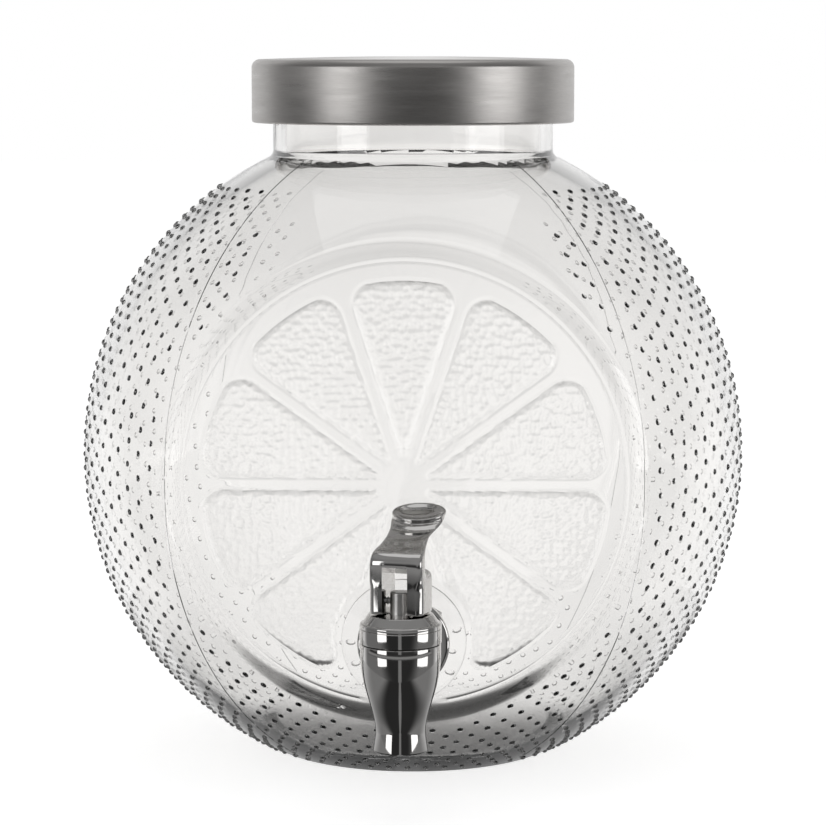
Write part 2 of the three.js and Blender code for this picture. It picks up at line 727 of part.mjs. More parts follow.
const dispenser = new THREE.Group();
dispenser.add(placed([piece('glass_jar', makeJar(), glass)], 0, 0, ballHeight));
dispenser.add(placed([
  piece('lid_shell', makeLidShell(), steel),
  piece('lid_liner', makeLidLiner(), whitePlastic),
], 0, 0, lidZ));
dispenser.add(placed([piece('lid_gasket', makeLidGasket(), silicone)], 0, 0, lidGasketZ));
dispenser.add(placed([
  piece('tap_body', makeTapBody(), chrome),
  piece('tap_bonnet', makeBonnet(), chrome),
  piece('bonnet_gasket', makeBonnetGasket(), silicone),
  piece('stem_o_ring', makeStemORing(), blackRubber),
  piece('front_washer', makeFrontWasher(), silicone),
  piece('rear_washer', makeRearWasher(), silicone),
  piece('shank_nut', makeShankNut(), whitePlastic),
], 0, tapAxisY, tapHeight));
dispenser.add(placed([
  piece('valve_stem', makeValveStem(), chrome),
  piece('valve_plug', makeValvePlug(), silicone),
  piece('valve_spring', makeValveSpring(), spring),
  piece('lever_pin', makeLeverPin(), steel),
  piece('lever', makeLever(), chrome),
], 0, tapAxisY, tapHeight, leverSwivel));

export default dispenser;
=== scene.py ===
import json
import math
import random

import bpy
import numpy as np
from mathutils import Matrix, Vector
from mathutils.bvhtree import BVHTree


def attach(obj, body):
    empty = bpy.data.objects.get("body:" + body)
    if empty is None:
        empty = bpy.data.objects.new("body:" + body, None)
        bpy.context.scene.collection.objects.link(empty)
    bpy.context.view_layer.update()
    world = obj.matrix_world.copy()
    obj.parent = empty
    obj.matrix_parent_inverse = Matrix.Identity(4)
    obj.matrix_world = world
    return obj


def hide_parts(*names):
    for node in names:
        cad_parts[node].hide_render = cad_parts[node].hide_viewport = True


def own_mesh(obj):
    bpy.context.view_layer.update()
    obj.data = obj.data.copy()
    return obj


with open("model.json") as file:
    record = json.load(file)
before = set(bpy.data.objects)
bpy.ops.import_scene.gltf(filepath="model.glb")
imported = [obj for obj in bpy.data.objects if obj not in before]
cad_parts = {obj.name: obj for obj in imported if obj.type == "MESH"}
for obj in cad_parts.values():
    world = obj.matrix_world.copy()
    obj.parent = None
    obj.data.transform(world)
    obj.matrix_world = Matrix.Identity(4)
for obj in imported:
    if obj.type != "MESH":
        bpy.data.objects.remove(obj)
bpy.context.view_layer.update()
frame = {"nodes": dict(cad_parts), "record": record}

MM = 0.001
UP = Vector((0, 0, 1))

# Fits, in millimetres as all sizes below
SEAT_GAP = 0.3
RUN_GAP = 0.3
OVERRUN = 3.0

# Sides of round pieces
BALL_SIDES = 360
JAR_SIDES = 240
BOSS_SIDES = 120
TAP_SIDES = 144
ROD_SIDES = 96
HOLE_SIDES = 64
BORE_SIDES = 48
PIN_SIDES = 40
TUBE_SIDES = 12

# Glass jar, about the ball's centre
BALL_RADIUS = 118.0
BALL_HEIGHT = 107.0
FACE_DEPTH = 86.7
FACE_EDGE = 6.0
HEEL_EDGE = 8.0
GLASS_WALL = 5.0
FLOOR_WALL = 9.0
INNER_FACE_EDGE = 9.0
INNER_HEEL_EDGE = 18.0
NECK_RADIUS = 50.0
NECK_WALL = 4.5
NECK_FILLET = 3.0
FILLET_SINK = 0.1
RIM_HEIGHT = 135.3
LIP_EDGE = 1.5
TAP_HEIGHT = 54.0
BOSS_RADIUS = 21.0
BOSS_PROUD = 0.6
BOSS_EDGE = 0.5
HOLE_RADIUS = 8.0

# Neck thread
THREAD_RISE = 1.3
THREAD_RADIUS = 1.5
THREAD_PITCH = 5.0
THREAD_TURNS = 1.6
THREAD_TOP = 129.0
THREAD_TAPER = 0.12
THREAD_STEPS = 160

# Slice in relief
SEGMENTS = 10
SLICE_RADIUS = 69.0
SLICE_CORE = 8.0
MEMBRANE = 2.6
RIND_CORNER = 9.0
RIM_RISE = 0.35
RIM_WIDTH = 1.6
PULP_DEPTH = 0.9
PULP_SLOPE = 3.0
PULP_CELL = 2.3
PULP_RISE = 0.5
RIND_LINE = 74.5
RIND_LINE_RISE = 0.25
RIND_LINE_WIDTH = 1.3
BOSS_CLEAR = 23.0
BOSS_FADE = 2.0
PEBBLE_SEED = 11
PEBBLE_TABLE = 64
PEBBLE_SHIFTS = (0.15, 0.85)
PEBBLE_HEIGHTS = (0.55, 1.0)
PEBBLE_REACH = 0.62 * PULP_CELL
BACK_RING = 40.0
# Rings of the front face: inner and outer radius, sides, and step between rings
FACE_PLAN = [(SLICE_CORE - 1, 12, 90, 0.7), (12, 24, 180, 0.55), (24, 44, 360, 0.5), (44, 71.5, 720, 0.5)]
FACE_CENTRE = [(0.0, 1), (3.0, 90)]
FACE_RIM_START = 72
FACE_RIM_STEP = 0.6

# Peel dots and mould seams
DOT_RADIUS = 1.15
DOT_RISE = 0.75
DOT_SIDES = 10
DOT_COLUMNS = 54
DOT_ROW_STEP = 2.0
DOT_LOWEST = -62.0
DOT_HIGHEST = 55.0
DOT_FACE_CLEAR = 45.2
DOT_SEAM_CLEAR = 1.2
DOT_INSIDE_SEAM = 9.0
DOT_INSIDE_LOW = 18.0
DOT_INSIDE_HIGH = 46.0
DOT_RINGS = [(0.55, 0.78), (0.85, 0.36), (1.03, -0.12)]
DOT_SEED = 5
DOT_SHIFT = (0.12, 0.08)
DOT_SIZES = (0.92, 1.06)
SEAM_LONGITUDE = 43.0
SEAM_WIDTH = 0.35
SEAM_RISE = 0.16
SEAM_LOWEST = -61
SEAM_HIGHEST = 63
SEAM_STEP = 1.0

# Lid
LID_RADIUS = 57.5
LID_HEIGHT = 23.4
LID_CROWN = 1.0
LID_EDGE = 3.0
LID_SHEET = 0.7
LID_TOP = 248.7
LID_BEAD = 0.9

# Tap, about the barrel's axis at the shank's height
TAP_Y = -115.3
BARREL_RADIUS = 13.2
BARREL_TOP = 4.8
BARREL_STRAIGHT = 3.8
WAIST_RADIUS = 8.25
WAIST_DROP = 24.5
WAIST_PULL = 0.3
SHOULDER_PULL = 0.43
NOZZLE_DROP = 30.8
NOZZLE_RADIUS = 8.9
NOZZLE_LIP = 0.6
SPOUT_BORE = 5.2
SPOUT_MOUTH = 6.4
CHAMBER_RADIUS = 9.3
SEAT_DROP = 8.0
COLLAR_HEIGHT = 4.2
COLLAR_WALL = 1.9
SHANK_NECK_RADIUS = 7.5
FLANGE_BACK = 25.6
FLANGE_RADIUS = 15.5
FLANGE_THICKNESS = 3.0
FLANGE_EDGE = 1.2
SHANK_RADIUS = 7.4
SHANK_BORE = 3.8
SHANK_LENGTH = 24.0
SHANK_PITCH = 1.5
SHANK_THREAD = 0.5
BONNET_RADIUS = 13.4
BONNET_BOTTOM = 5.1
BONNET_RING = 6.8
BONNET_CONE = 2.6
BONNET_TOP_RADIUS = 10.9
BONNET_EDGE = 0.9
BONNET_GROOVE = 1.9
GROOVE = 0.22
BONNET_RIM = 0.5
BONNET_SLOPE = math.radians(40)
BONNET_ROOF = 3.9
STEM_BORE = 3.7
O_RING_SEAT = 5.2
O_RING_DEPTH = 1.8

# Stem, about the shank's axis
STEM_RADIUS = 3.4
STEM_EDGE = 0.45
STEM_TIP_RADIUS = 2.1
STEM_TIP = -5.9
STEM_LOW = -2.4
SHOULDER_RADIUS = 6.9
SHOULDER_LOW = 0.5
SHOULDER_THICKNESS = 1.4
STEM_RISE = 3.2

# Spring about the stem
SPRING_RADIUS = 6.0
SPRING_WIRE = 0.4
SPRING_TURNS = 4.5
SPRING_STEPS = 200

# Lever, about the barrel's axis, up from its own foot
SWIVEL = math.radians(-16)
FOOT_Z = 68.8
LEVER_THROW = math.radians(24)
STEM_LIFT = 1.8
SLOT_GAP = 0.9
SLOT_FRONT = 15.8
SLOT_BACK = 11.6
PIN_RADIUS = 1.0
PIN_HEIGHT = 3.9
PIN_BLIND = 7.1
HUB_HALF = 9.3
HUB_FRONT = 6.4
HUB_BACK = 7.2
HUB_CORNER = 3.0
CHEEK_HEIGHT = 15.4
CHEEK_ROUND = 6.5
CHEEK_EDGE = 4.5
PAD_HEIGHT = 30.7
PAD_REACH = 19.5
PAD_HALF_WIDTH = 9.3
PAD_HALF_DEPTH = 7.3
PAD_THICKNESS = 4.6
LEVER_VOXEL = 0.24
LEVER_ROUNDS = 70
PAD_TILT = math.radians(15.5)
ARM_SHARES = [
    (0.33, 0.98, 0.42, -0.175, 0.0, 0.36),
    (0.505, 0.98, 0.42, -0.175, 0.0, 0.36),
    (0.577, 0.97, 0.42, -0.168, 0.0, 0.4),
    (0.645, 0.945, 0.43, -0.1, 0.05, 0.46),
    (0.69, 0.9, 0.45, 0.03, 0.2, 0.55),
    (0.725, 0.84, 0.5, 0.2, 0.35, 0.7),
    (0.779, 0.8, 0.62, 0.38, 0.6, 0.8),
    (0.831, 0.87, 0.78, 0.63, 0.8, 0.9),
    (0.876, 0.95, 0.88, 0.83, 1.0, 1.0),
    (0.935, 0.985, 0.94, 0.96, 1.0, 1.0),
]
PAD_SHARES = [
    (0.0, -1.0), (0.25, -0.975), (0.5, -0.88), (0.75, -0.66), (0.9, -0.4), (0.98, -0.2),
    (1.0, -0.06), (0.985, 0.03), (0.95, 0.06), (0.9, 0.03), (0.82, -0.05), (0.65, -0.2),
    (0.4, -0.32), (0.2, -0.37), (0.0, -0.38),
]

# Finishes
WHITE = (1, 1, 1, 1)
GLASS_COLOUR = (0.975, 0.968, 0.958, 1)
GLASS_SHADOW = (0.94, 0.935, 0.93, 1)
STEEL_TONES = (0.40, 0.385, 0.375), (0.56, 0.545, 0.53)
CHROME_TONES = (0.56, 0.55, 0.54), (0.66, 0.65, 0.64)
WIRE_TONES = (0.52, 0.52, 0.53), (0.68, 0.68, 0.69)
PLASTIC_TONES = (0.80, 0.80, 0.78), (0.87, 0.87, 0.85)
SILICONE_TONES = (0.70, 0.71, 0.70), (0.78, 0.79, 0.78)
RUBBER_TONES = (0.02, 0.02, 0.02), (0.035, 0.035, 0.035)
BRUSH_STRETCH = 0.004

# Camera and light
PHOTO_WIDTH = 826
PHOTO_FOCAL = 3000.0
SENSOR = 36.0
NEAREST = 0.01
CAMERA_AT = Vector((37.6, -1076.4, 248.8))
CAMERA_YAW = math.radians(2.0)
CAMERA_PITCH = math.radians(6.787)
BOX_DISTANCE = 1300.0
LEFT_BOX = (-66.0, -38.0)
RIGHT_BOX = (51.0, 85.0)
BOX_LOW = -320.0
BOX_HIGH = 600.0
BOX_LEVEL = 1.8
TOP_HEIGHT = 1500.0
TOP_SIZE = 1200.0
TOP_BACK = 100.0
TOP_LEVEL = 0.5
PLAIN_LEVEL = 0.5
FRONT_TONE = 0.03
SIDE_TONE = 0.2
CEILING_TONE = 0.3
BESIDE_TONE = 0.25
NEAR_TONE = 1.0
HORIZON_TONE = 0.86
TABLE_TONE = 0.03
BACK_TONE = 0.6
# Painted shadow that glass shows on the floor under the jar: its tone, the span along Y where it gives way
# behind, and the radii over which it fades out
PAINTED_SHADOW_TONE = 0.04
PAINTED_SHADOW_FRONT = -20.0
PAINTED_SHADOW_BACK = 35.0
PAINTED_SHADOW_NEAR = 120.0
PAINTED_SHADOW_FAR = 200.0
TABLE_EDGE = 205.0
STRIP_HALF = 3.5
STRIP_SINE = 0.06
STRIP_FADE = 1.5
STRIP_TONE = 0.25
PANEL_START = 42.0
PANEL_END = 80.0
PANEL_TONE = 0.26
ROOM_START = 490.0
ROOM_END = 650.0
ROOM_TONE = 0.1
ROOM_FAR_START = 800.0
ROOM_FAR_END = 1200.0
ROOM_FAR_TONE = 0.04
BAND_RATE = 24.0
BAND_DEPTH = 0.07
# Spans of a direction's part along one axis, over which the studio changes
FRONT_RISE = (-0.02, 0.35)
FRONT_LOOK = (-0.85, -0.45)
BACK_LOOK = (0.25, 0.65)
CEILING_LOOK = (0.45, 0.75)
BACKDROP_RISE = (0.0, 0.5)
AHEAD_LOOK = (-0.95, -0.75)
BESIDE_LOOK = (0.1, 0.9)
FLOOR_COLOUR = (0.8, 0.8, 0.8, 1)
FLOOR_HALF = 6000.0
FLOOR_GLOW = 0.62


# Meshes

def make_object(name, points, faces):
    """A mesh object from points in millimetres, with its faces turned to point out."""
    mesh = bpy.data.meshes.new(name)
    mesh.from_pydata([tuple(point) for point in np.asarray(points) * MM], [], faces)
    if mesh_volume(mesh) < 0:
        mesh.flip_normals()
    obj = bpy.data.objects.new(name, mesh)
    bpy.context.scene.collection.objects.link(obj)
    return obj


def mesh_volume(mesh):
    mesh.calc_loop_triangles()
    count = len(mesh.loop_triangles)
    corners = np.empty(count * 3, dtype=np.int32)
    mesh.loop_triangles.foreach_get("vertices", corners)
    points = np.empty(len(mesh.vertices) * 3)
    mesh.vertices.foreach_get("co", points)
    a, b, c = points.reshape(-1, 3)[corners.reshape(-1, 3)].transpose(1, 0, 2)
    return float(np.einsum("ij,ij->i", a, np.cross(b, c)).sum())


def ring_faces(first, second, first_count, second_count):
    """Faces between two rings of vertices, given by their first index and count; 1 is a pole."""
    if first_count == 1 and second_count == 1:
        return []
    if first_count == 1:
        return [(first, second + i, second + (i + 1) % second_count) for i in range(second_count)]
    if second_count == 1:
        return [tuple(reversed(f)) for f in ring_faces(second, first, 1, first_count)]
    if first_count == second_count:
        n = first_count
        return [(first + i, second + i, second + (i + 1) % n, first + (i + 1) % n) for i in range(n)]
    if first_count > second_count:
        return [tuple(reversed(f)) for f in ring_faces(second, first, second_count, first_count)]
    faces = []
    for i in range(first_count):
        near, far = first + i, first + (i + 1) % first_count
        a, b = second + 2 * i, second + 2 * i + 1
        c = second + (2 * i + 2) % second_count
        faces += [(near, a, b), (near, b, far), (far, b, c)]
    return faces


def revolve_points(profile, counts, axis):
    """Points and faces of a profile of (radius, height) turned about Z or Y."""
    points, faces, starts = [], [], []
    for (radius, height), count in zip(profile, counts):
        starts.append(len(points))
        angles = np.arange(count) * 2 * math.pi / count
        ring = np.stack([radius * np.cos(angles), radius * np.sin(angles), np.full(count, height)], 1)
        points.extend(ring if axis == "Z" else ring[:, [0, 2, 1]])
    for i in range(len(profile) - 1):
        faces += ring_faces(starts[i], starts[i + 1], counts[i], counts[i + 1])
    return np.array(points), faces, starts


def revolve(name, profile, sides, axis="Z", closed=False):
    """A solid of revolution. A closed profile is a ring that never meets the axis."""
    counts = [1 if radius == 0 else sides for radius, _ in profile]
    points, faces, starts = revolve_points(profile, counts, axis)
    if closed:
        faces += ring_faces(starts[-1], starts[0], sides, sides)
    return make_object(name, points, faces)


def arc(centre, radius, start, end, steps):
    angles = np.linspace(start, end, steps + 1)
    return [(centre[0] + radius * math.cos(a), centre[1] + radius * math.sin(a)) for a in angles]


def bezier(points, steps):
    """Points of a cubic Bezier curve."""
    a, b, c, d = (np.array(point) for point in points)
    result = []
    for t in np.linspace(0, 1, steps + 1):
        s = 1 - t
        result.append(tuple(s ** 3 * a + 3 * s * s * t * b + 3 * s * t * t * c + t ** 3 * d))
    return result


def moved(obj, x=0.0, y=0.0, z=0.0, turn=0.0):
    """Moves an object's own vertices, in millimetres, after a turn about Z."""
    matrix = Matrix.Translation(Vector((x, y, z)) * MM) @ Matrix.Rotation(turn, 4, "Z")
    obj.data.transform(matrix)
    return obj


def combine(obj, tool, operation):
    """Joins or cuts obj with tool, which goes."""
    modifier = obj.modifiers.new("combine", "BOOLEAN")
    modifier.operation = operation
    modifier.solver = "MANIFOLD"
    modifier.object = tool
    apply_modifiers(obj)
    mesh = tool.data
    bpy.data.objects.remove(tool)
    bpy.data.meshes.remove(mesh)
    return obj


def apply_modifiers(obj):
    evaluated = obj.evaluated_get(bpy.context.evaluated_depsgraph_get())
    mesh = bpy.data.meshes.new_from_object(evaluated)
    obj.modifiers.clear()
    old = obj.data
    obj.data = mesh
    bpy.data.meshes.remove(old)
    return obj


def join(obj, tool):
    return combine(obj, tool, "UNION")


def cut(obj, tool):
    return combine(obj, tool, "DIFFERENCE")


def smooth(obj, degrees):
    obj.data.shade_smooth()
    obj.data.set_sharp_from_angle(angle=math.radians(degrees))
    return obj


def tube(name, path, radii, sides):
    """A closed tube along a path of points, with a radius at each."""
    points, faces = [], []
    path = [Vector(point) for point in path]
    for i, (point, radius) in enumerate(zip(path, radii)):
        along = (path[min(i + 1, len(path) - 1)] - path[max(i - 1, 0)]).normalized()
        side = along.cross(UP if abs(along.z) < 0.9 else Vector((1, 0, 0))).normalized()
        other = side.cross(along)
        for k in range(sides):
            angle = 2 * math.pi * k / sides
            points.append(point + radius * (math.cos(angle) * side + math.sin(angle) * other))
    for i in range(len(path) - 1):
        faces += ring_faces(i * sides, (i + 1) * sides, sides, sides)
    last = (len(path) - 1) * sides
    faces.append(tuple(range(sides)))
    faces.append(tuple(reversed(range(last, last + sides))))
    return make_object(name, points, faces)


# Glass jar

def edge_on_ball(radius, depth, edge):
    across = math.sqrt((radius - edge) ** 2 - (depth - edge) ** 2)
    return across, math.atan2(depth - edge, across)


def rind_profile(radius, depth, edge, edge_steps, ball_steps):
    """Profile about Y from the front face's edge to the back face's edge."""
    across, angle = edge_on_ball(radius, depth, edge)
    low = arc((across, edge - depth), edge, -math.pi / 2, -angle, edge_steps)
    wall = arc((0, 0), radius, -angle, angle, ball_steps)
    high = arc((across, depth - edge), edge, angle, math.pi / 2, edge_steps)
    return low + wall[1:-1] + high


def face_rings(edge_radius):
    """Rings of the front face, with more sides where the radius is larger."""
    rings = list(FACE_CENTRE)
    for start, end, count, step in FACE_PLAN:
        rings += [(radius, count) for radius in np.arange(start, end, step)]
    last = edge_radius - FACE_RIM_STEP / 2
    return rings + [(radius, BALL_SIDES) for radius in np.arange(FACE_RIM_START, last, FACE_RIM_STEP)]


def make_rind():
    """The outside of the ball, with the slice in relief on its front face."""
    rind = rind_profile(BALL_RADIUS, FACE_DEPTH, FACE_EDGE, 8, 90)
    front = face_rings(rind[0][0])
    profile = [(radius, -FACE_DEPTH) for radius, _ in front] + rind
    profile += [(BACK_RING, FACE_DEPTH), (0.0, FACE_DEPTH)]
    counts = [count for _, count in front] + [BALL_SIDES] * (len(rind) + 1) + [1]
    points, faces, _ = revolve_points(profile, counts, "Y")
    inside = np.hypot(points[:, 0], points[:, 2]) < rind[0][0] - FACE_RIM_STEP / 3
    face = inside & (points[:, 1] < FACE_RIM_STEP / 3 - FACE_DEPTH)
    points[face, 1] -= relief(points[face, 0], points[face, 2])
    return make_object("jar_glass", points, faces)


def fade(value, low, high):
    """0 at low, 1 at high, smooth between them."""
    t = np.clip((value - low) / (high - low), 0, 1)
    return t * t * (3 - 2 * t)


def segment_depth(x, z):
    """How far a point of the face is inside its slice segment; below 0 outside."""
    radius = np.hypot(x, z)
    step = 2 * math.pi / SEGMENTS
    turn = np.arctan2(x, z)
    local = turn - step * np.round(turn / step)
    side = radius * np.sin(step / 2 - np.abs(local)) - MEMBRANE / 2
    rind = SLICE_RADIUS - radius
    both = RIND_CORNER - np.hypot(np.maximum(RIND_CORNER - side, 0), np.maximum(RIND_CORNER - rind, 0))
    return np.minimum(np.minimum(both, np.minimum(side, rind)), radius - SLICE_CORE)


def pebbles(x, z):
    """0 to 1: close-set round pebbles of one cell's size each."""
    generator = np.random.default_rng(PEBBLE_SEED)
    jitter = generator.uniform(*PEBBLE_SHIFTS, (PEBBLE_TABLE, PEBBLE_TABLE, 2))
    height = generator.uniform(*PEBBLE_HEIGHTS, (PEBBLE_TABLE, PEBBLE_TABLE))
    column = np.floor(x / PULP_CELL).astype(int)
    row = np.floor(z / PULP_CELL).astype(int)
    best = np.zeros_like(x)
    for i in (-1, 0, 1):
        for j in (-1, 0, 1):
            a, b = (column + i) % PEBBLE_TABLE, (row + j) % PEBBLE_TABLE
            dx = (column + i + jitter[a, b, 0]) * PULP_CELL - x
            dz = (row + j + jitter[a, b, 1]) * PULP_CELL - z
            near = 1 - (dx * dx + dz * dz) / PEBBLE_REACH ** 2
            best = np.maximum(best, np.clip(near, 0, 1) * height[a, b])
    return best


def relief(x, z):
    """How far the front face stands proud: rims, sunk pulp with pebbles, and the rind's line."""
    depth = segment_depth(x, z)
    rim = RIM_RISE * fade(depth, 0, RIM_WIDTH / 2) * (1 - fade(depth, RIM_WIDTH / 2, RIM_WIDTH))
    sunk = fade(depth, RIM_WIDTH / 2, PULP_SLOPE)
    pulp = sunk * (PULP_RISE * pebbles(x, z) - PULP_DEPTH)
    line = np.abs(np.hypot(x, z) - RIND_LINE) / (RIND_LINE_WIDTH / 2)
    rind = RIND_LINE_RISE * (1 - fade(line, 0, 1))
    boss = np.hypot(x, z - (TAP_HEIGHT - BALL_HEIGHT))
    return (rim + pulp + rind) * fade(boss, BOSS_CLEAR, BOSS_CLEAR + BOSS_FADE)


def foot_envelope(radius, drop, heel, steps):
    """A solid that takes in the ball down to a flat foot with a round heel."""
    across, angle = edge_on_ball(radius, drop, heel)
    heel_arc = arc((across, heel - drop), heel, -math.pi / 2, -angle, steps)
    wide = radius + OVERRUN
    last = heel_arc[-1]
    high = RIM_HEIGHT + OVERRUN
    profile = [(0.0, -drop)] + heel_arc
    profile += [(wide, last[1] + (wide - last[0]) / math.tan(angle)), (wide, high), (0.0, high)]
    return revolve("foot", profile, JAR_SIDES)


def neck_profile(ball, neck, top, steps):
    sunk = ball - FILLET_SINK + NECK_FILLET
    centre = (neck + NECK_FILLET, math.sqrt(sunk ** 2 - (neck + NECK_FILLET) ** 2))
    meet = math.atan2(-centre[1], -centre[0])
    return [(0.0, 0.0), (neck, 0.0)] + arc(centre, NECK_FILLET, meet, -math.pi, steps) + [(neck, top)]


def make_neck():
    top = RIM_HEIGHT - LIP_EDGE
    lip = arc((NECK_RADIUS - LIP_EDGE, top), LIP_EDGE, 0, math.pi / 2, 6)
    profile = neck_profile(BALL_RADIUS, NECK_RADIUS, top, 8) + lip[1:] + [(0.0, RIM_HEIGHT)]
    neck = revolve("neck", profile, JAR_SIDES)
    return join(neck, make_thread())


def make_thread():
    """One rounded ridge that winds down the neck and runs out at both ends."""
    path, radii = [], []
    for i in range(THREAD_STEPS + 1):
        share = i / THREAD_STEPS
        angle = 2 * math.pi * THREAD_TURNS * share
        swell = min(1.0, min(share, 1 - share) / THREAD_TAPER)
        radius = NECK_RADIUS + THREAD_RISE * swell - THREAD_RADIUS - SEAT_GAP * (1 - swell)
        height = THREAD_TOP - THREAD_PITCH * THREAD_TURNS * share
        path.append((radius * math.cos(angle), radius * math.sin(angle), height))
        radii.append(THREAD_RADIUS)
    return tube("thread", path, radii, TUBE_SIDES)


def make_cavity():
    inner = BALL_RADIUS - GLASS_WALL
    rind = rind_profile(inner, FACE_DEPTH - GLASS_WALL, INNER_FACE_EDGE, 10, 60)
    depth = FACE_DEPTH - GLASS_WALL
    cavity = revolve("cavity", [(0.0, -depth)] + rind + [(0.0, depth)], JAR_SIDES, "Y")
    cavity = combine(cavity, foot_envelope(inner, BALL_HEIGHT - FLOOR_WALL, INNER_HEEL_EDGE, 12), "INTERSECT")
    bore = NECK_RADIUS - NECK_WALL
    top = RIM_HEIGHT - LIP_EDGE
    lip = arc((bore + LIP_EDGE, top), LIP_EDGE, math.pi, math.pi / 2, 6)
    high = RIM_HEIGHT + OVERRUN
    profile = neck_profile(inner, bore, top, 8) + lip[1:] + [(bore + LIP_EDGE, high), (0.0, high)]
    return join(cavity, revolve("bore", profile, JAR_SIDES))


def make_boss():
    front = -(FACE_DEPTH + BOSS_PROUD)
    edge = arc((BOSS_RADIUS - BOSS_EDGE, front + BOSS_EDGE), BOSS_EDGE, -math.pi / 2, 0, 5)
    back = GLASS_WALL / 2 - FACE_DEPTH
    profile = [(0.0, front)] + edge + [(BOSS_RADIUS, back), (0.0, back)]
    return moved(revolve("boss", profile, BOSS_SIDES, "Y"), z=TAP_HEIGHT - BALL_HEIGHT)


def rod(name, radius, low, high, sides, axis="Z"):
    return revolve(name, [(0.0, low), (radius, low), (radius, high), (0.0, high)], sides, axis)


def direction(longitude, latitude):
    """Unit vector from the ball's centre; longitude 0 is the front and 90 the right."""
    lon, lat = math.radians(longitude), math.radians(latitude)
    return Vector((math.sin(lon) * math.cos(lat), -math.cos(lon) * math.cos(lat), math.sin(lat)))


def has_dot(longitude, latitude):
    """Whether the peel has a dot there: not on the faces, and few above them between the seams."""
    away = abs(direction(longitude, latitude).y)
    if math.degrees(math.acos(away)) < DOT_FACE_CLEAR:
        return False
    from_face = min(abs(longitude), abs(180 - abs(longitude)))
    if abs(from_face - SEAM_LONGITUDE) < DOT_SEAM_CLEAR:
        return False
    inside = SEAM_LONGITUDE - from_face
    if inside > 0 and latitude > 0:
        return inside < DOT_INSIDE_SEAM and DOT_INSIDE_LOW < latitude < DOT_INSIDE_HIGH
    return True


def dot_places():
    places = []
    rows = int((DOT_HIGHEST - DOT_LOWEST) / DOT_ROW_STEP)
    step = 360 / DOT_COLUMNS
    for row in range(rows + 1):
        latitude = DOT_LOWEST + row * DOT_ROW_STEP
        for column in range(DOT_COLUMNS):
            longitude = (column + 0.5 * (row % 2)) * step - 180
            if has_dot(longitude, latitude):
                places.append((longitude, latitude))
    return places


def dot_template():
    """A lens about its own foot: a dome with a blunt underside."""
    points = [(0.0, 0.0, DOT_RISE)]
    for share, height in DOT_RINGS:
        for k in range(DOT_SIDES):
            angle = 2 * math.pi * k / DOT_SIDES
            radius = share * DOT_RADIUS
            points.append((radius * math.cos(angle), radius * math.sin(angle), height * DOT_RISE))
    points.append((0.0, 0.0, -DOT_RISE))
    last = len(points) - 1
    faces = ring_faces(0, 1, 1, DOT_SIDES)
    for i in range(len(DOT_RINGS) - 1):
        faces += ring_faces(1 + i * DOT_SIDES, 1 + (i + 1) * DOT_SIDES, DOT_SIDES, DOT_SIDES)
    faces += ring_faces(last - DOT_SIDES, last, DOT_SIDES, 1)
    return np.array(points), faces


def surface_finder(obj):
    """A function that gives the point and normal where a ray from the centre leaves obj."""
    tree = BVHTree.FromObject(obj, bpy.context.evaluated_depsgraph_get())

    def find(way):
        far = way * (2 * BALL_RADIUS * MM)
        point, normal, _, _ = tree.ray_cast(far, -way)
        return point / MM, normal
    return find


def make_dots(find):
    """All the peel's dots as one mesh, each with a little change of size."""
    rng = random.Random(DOT_SEED)
    wide, high = DOT_SHIFT
    base, base_faces = dot_template()
    points, faces = [], []
    for longitude, latitude in dot_places():
        way = direction(longitude + rng.uniform(-wide, wide), latitude + rng.uniform(-high, high))
        at, normal = find(way)
        side = UP.cross(normal).normalized()
        turn = np.array([side, normal.cross(side), normal])
        size = rng.uniform(*DOT_SIZES)
        faces += [tuple(index + len(points) for index in face) for face in base_faces]
        points.extend(base * size @ turn + np.array(at))
    return make_object("dots", points, faces)


def make_seams(find):
    """Fine ridges where the mould's parts met."""
    seams = None
    for longitude in (SEAM_LONGITUDE, -SEAM_LONGITUDE, 180 - SEAM_LONGITUDE, SEAM_LONGITUDE - 180):
        path = []
        for latitude in np.arange(SEAM_LOWEST, SEAM_HIGHEST + SEAM_STEP, SEAM_STEP):
            at, normal = find(direction(longitude, latitude))
            path.append(at + normal * (SEAM_RISE - SEAM_WIDTH))
        seam = tube("seam", path, [SEAM_WIDTH] * len(path), 8)
        seams = join(seams, seam) if seams else seam
    return seams


def make_jar():
    jar = make_rind()
    jar = combine(jar, foot_envelope(BALL_RADIUS, BALL_HEIGHT, HEEL_EDGE, 10), "INTERSECT")
    find = surface_finder(jar)
    dots = make_dots(find)
    seams = make_seams(find)
    jar = join(join(jar, dots), seams)
    jar = join(join(jar, make_neck()), make_boss())
    jar = cut(jar, make_cavity())
    front = -(FACE_DEPTH + BOSS_PROUD + OVERRUN)
    hole = rod("hole", HOLE_RADIUS, front, GLASS_WALL + OVERRUN - FACE_DEPTH, HOLE_SIDES, "Y")
    jar = cut(jar, moved(hole, z=TAP_HEIGHT - BALL_HEIGHT))
    return smooth(moved(jar, z=BALL_HEIGHT), 34)


# Lid

def crown(outer, top, steps):
    flat = LID_RADIUS - LID_EDGE
    radii = np.linspace(outer, 0, steps + 1)
    return [(radius, top - LID_CROWN * (radius / flat) ** 2) for radius in radii]


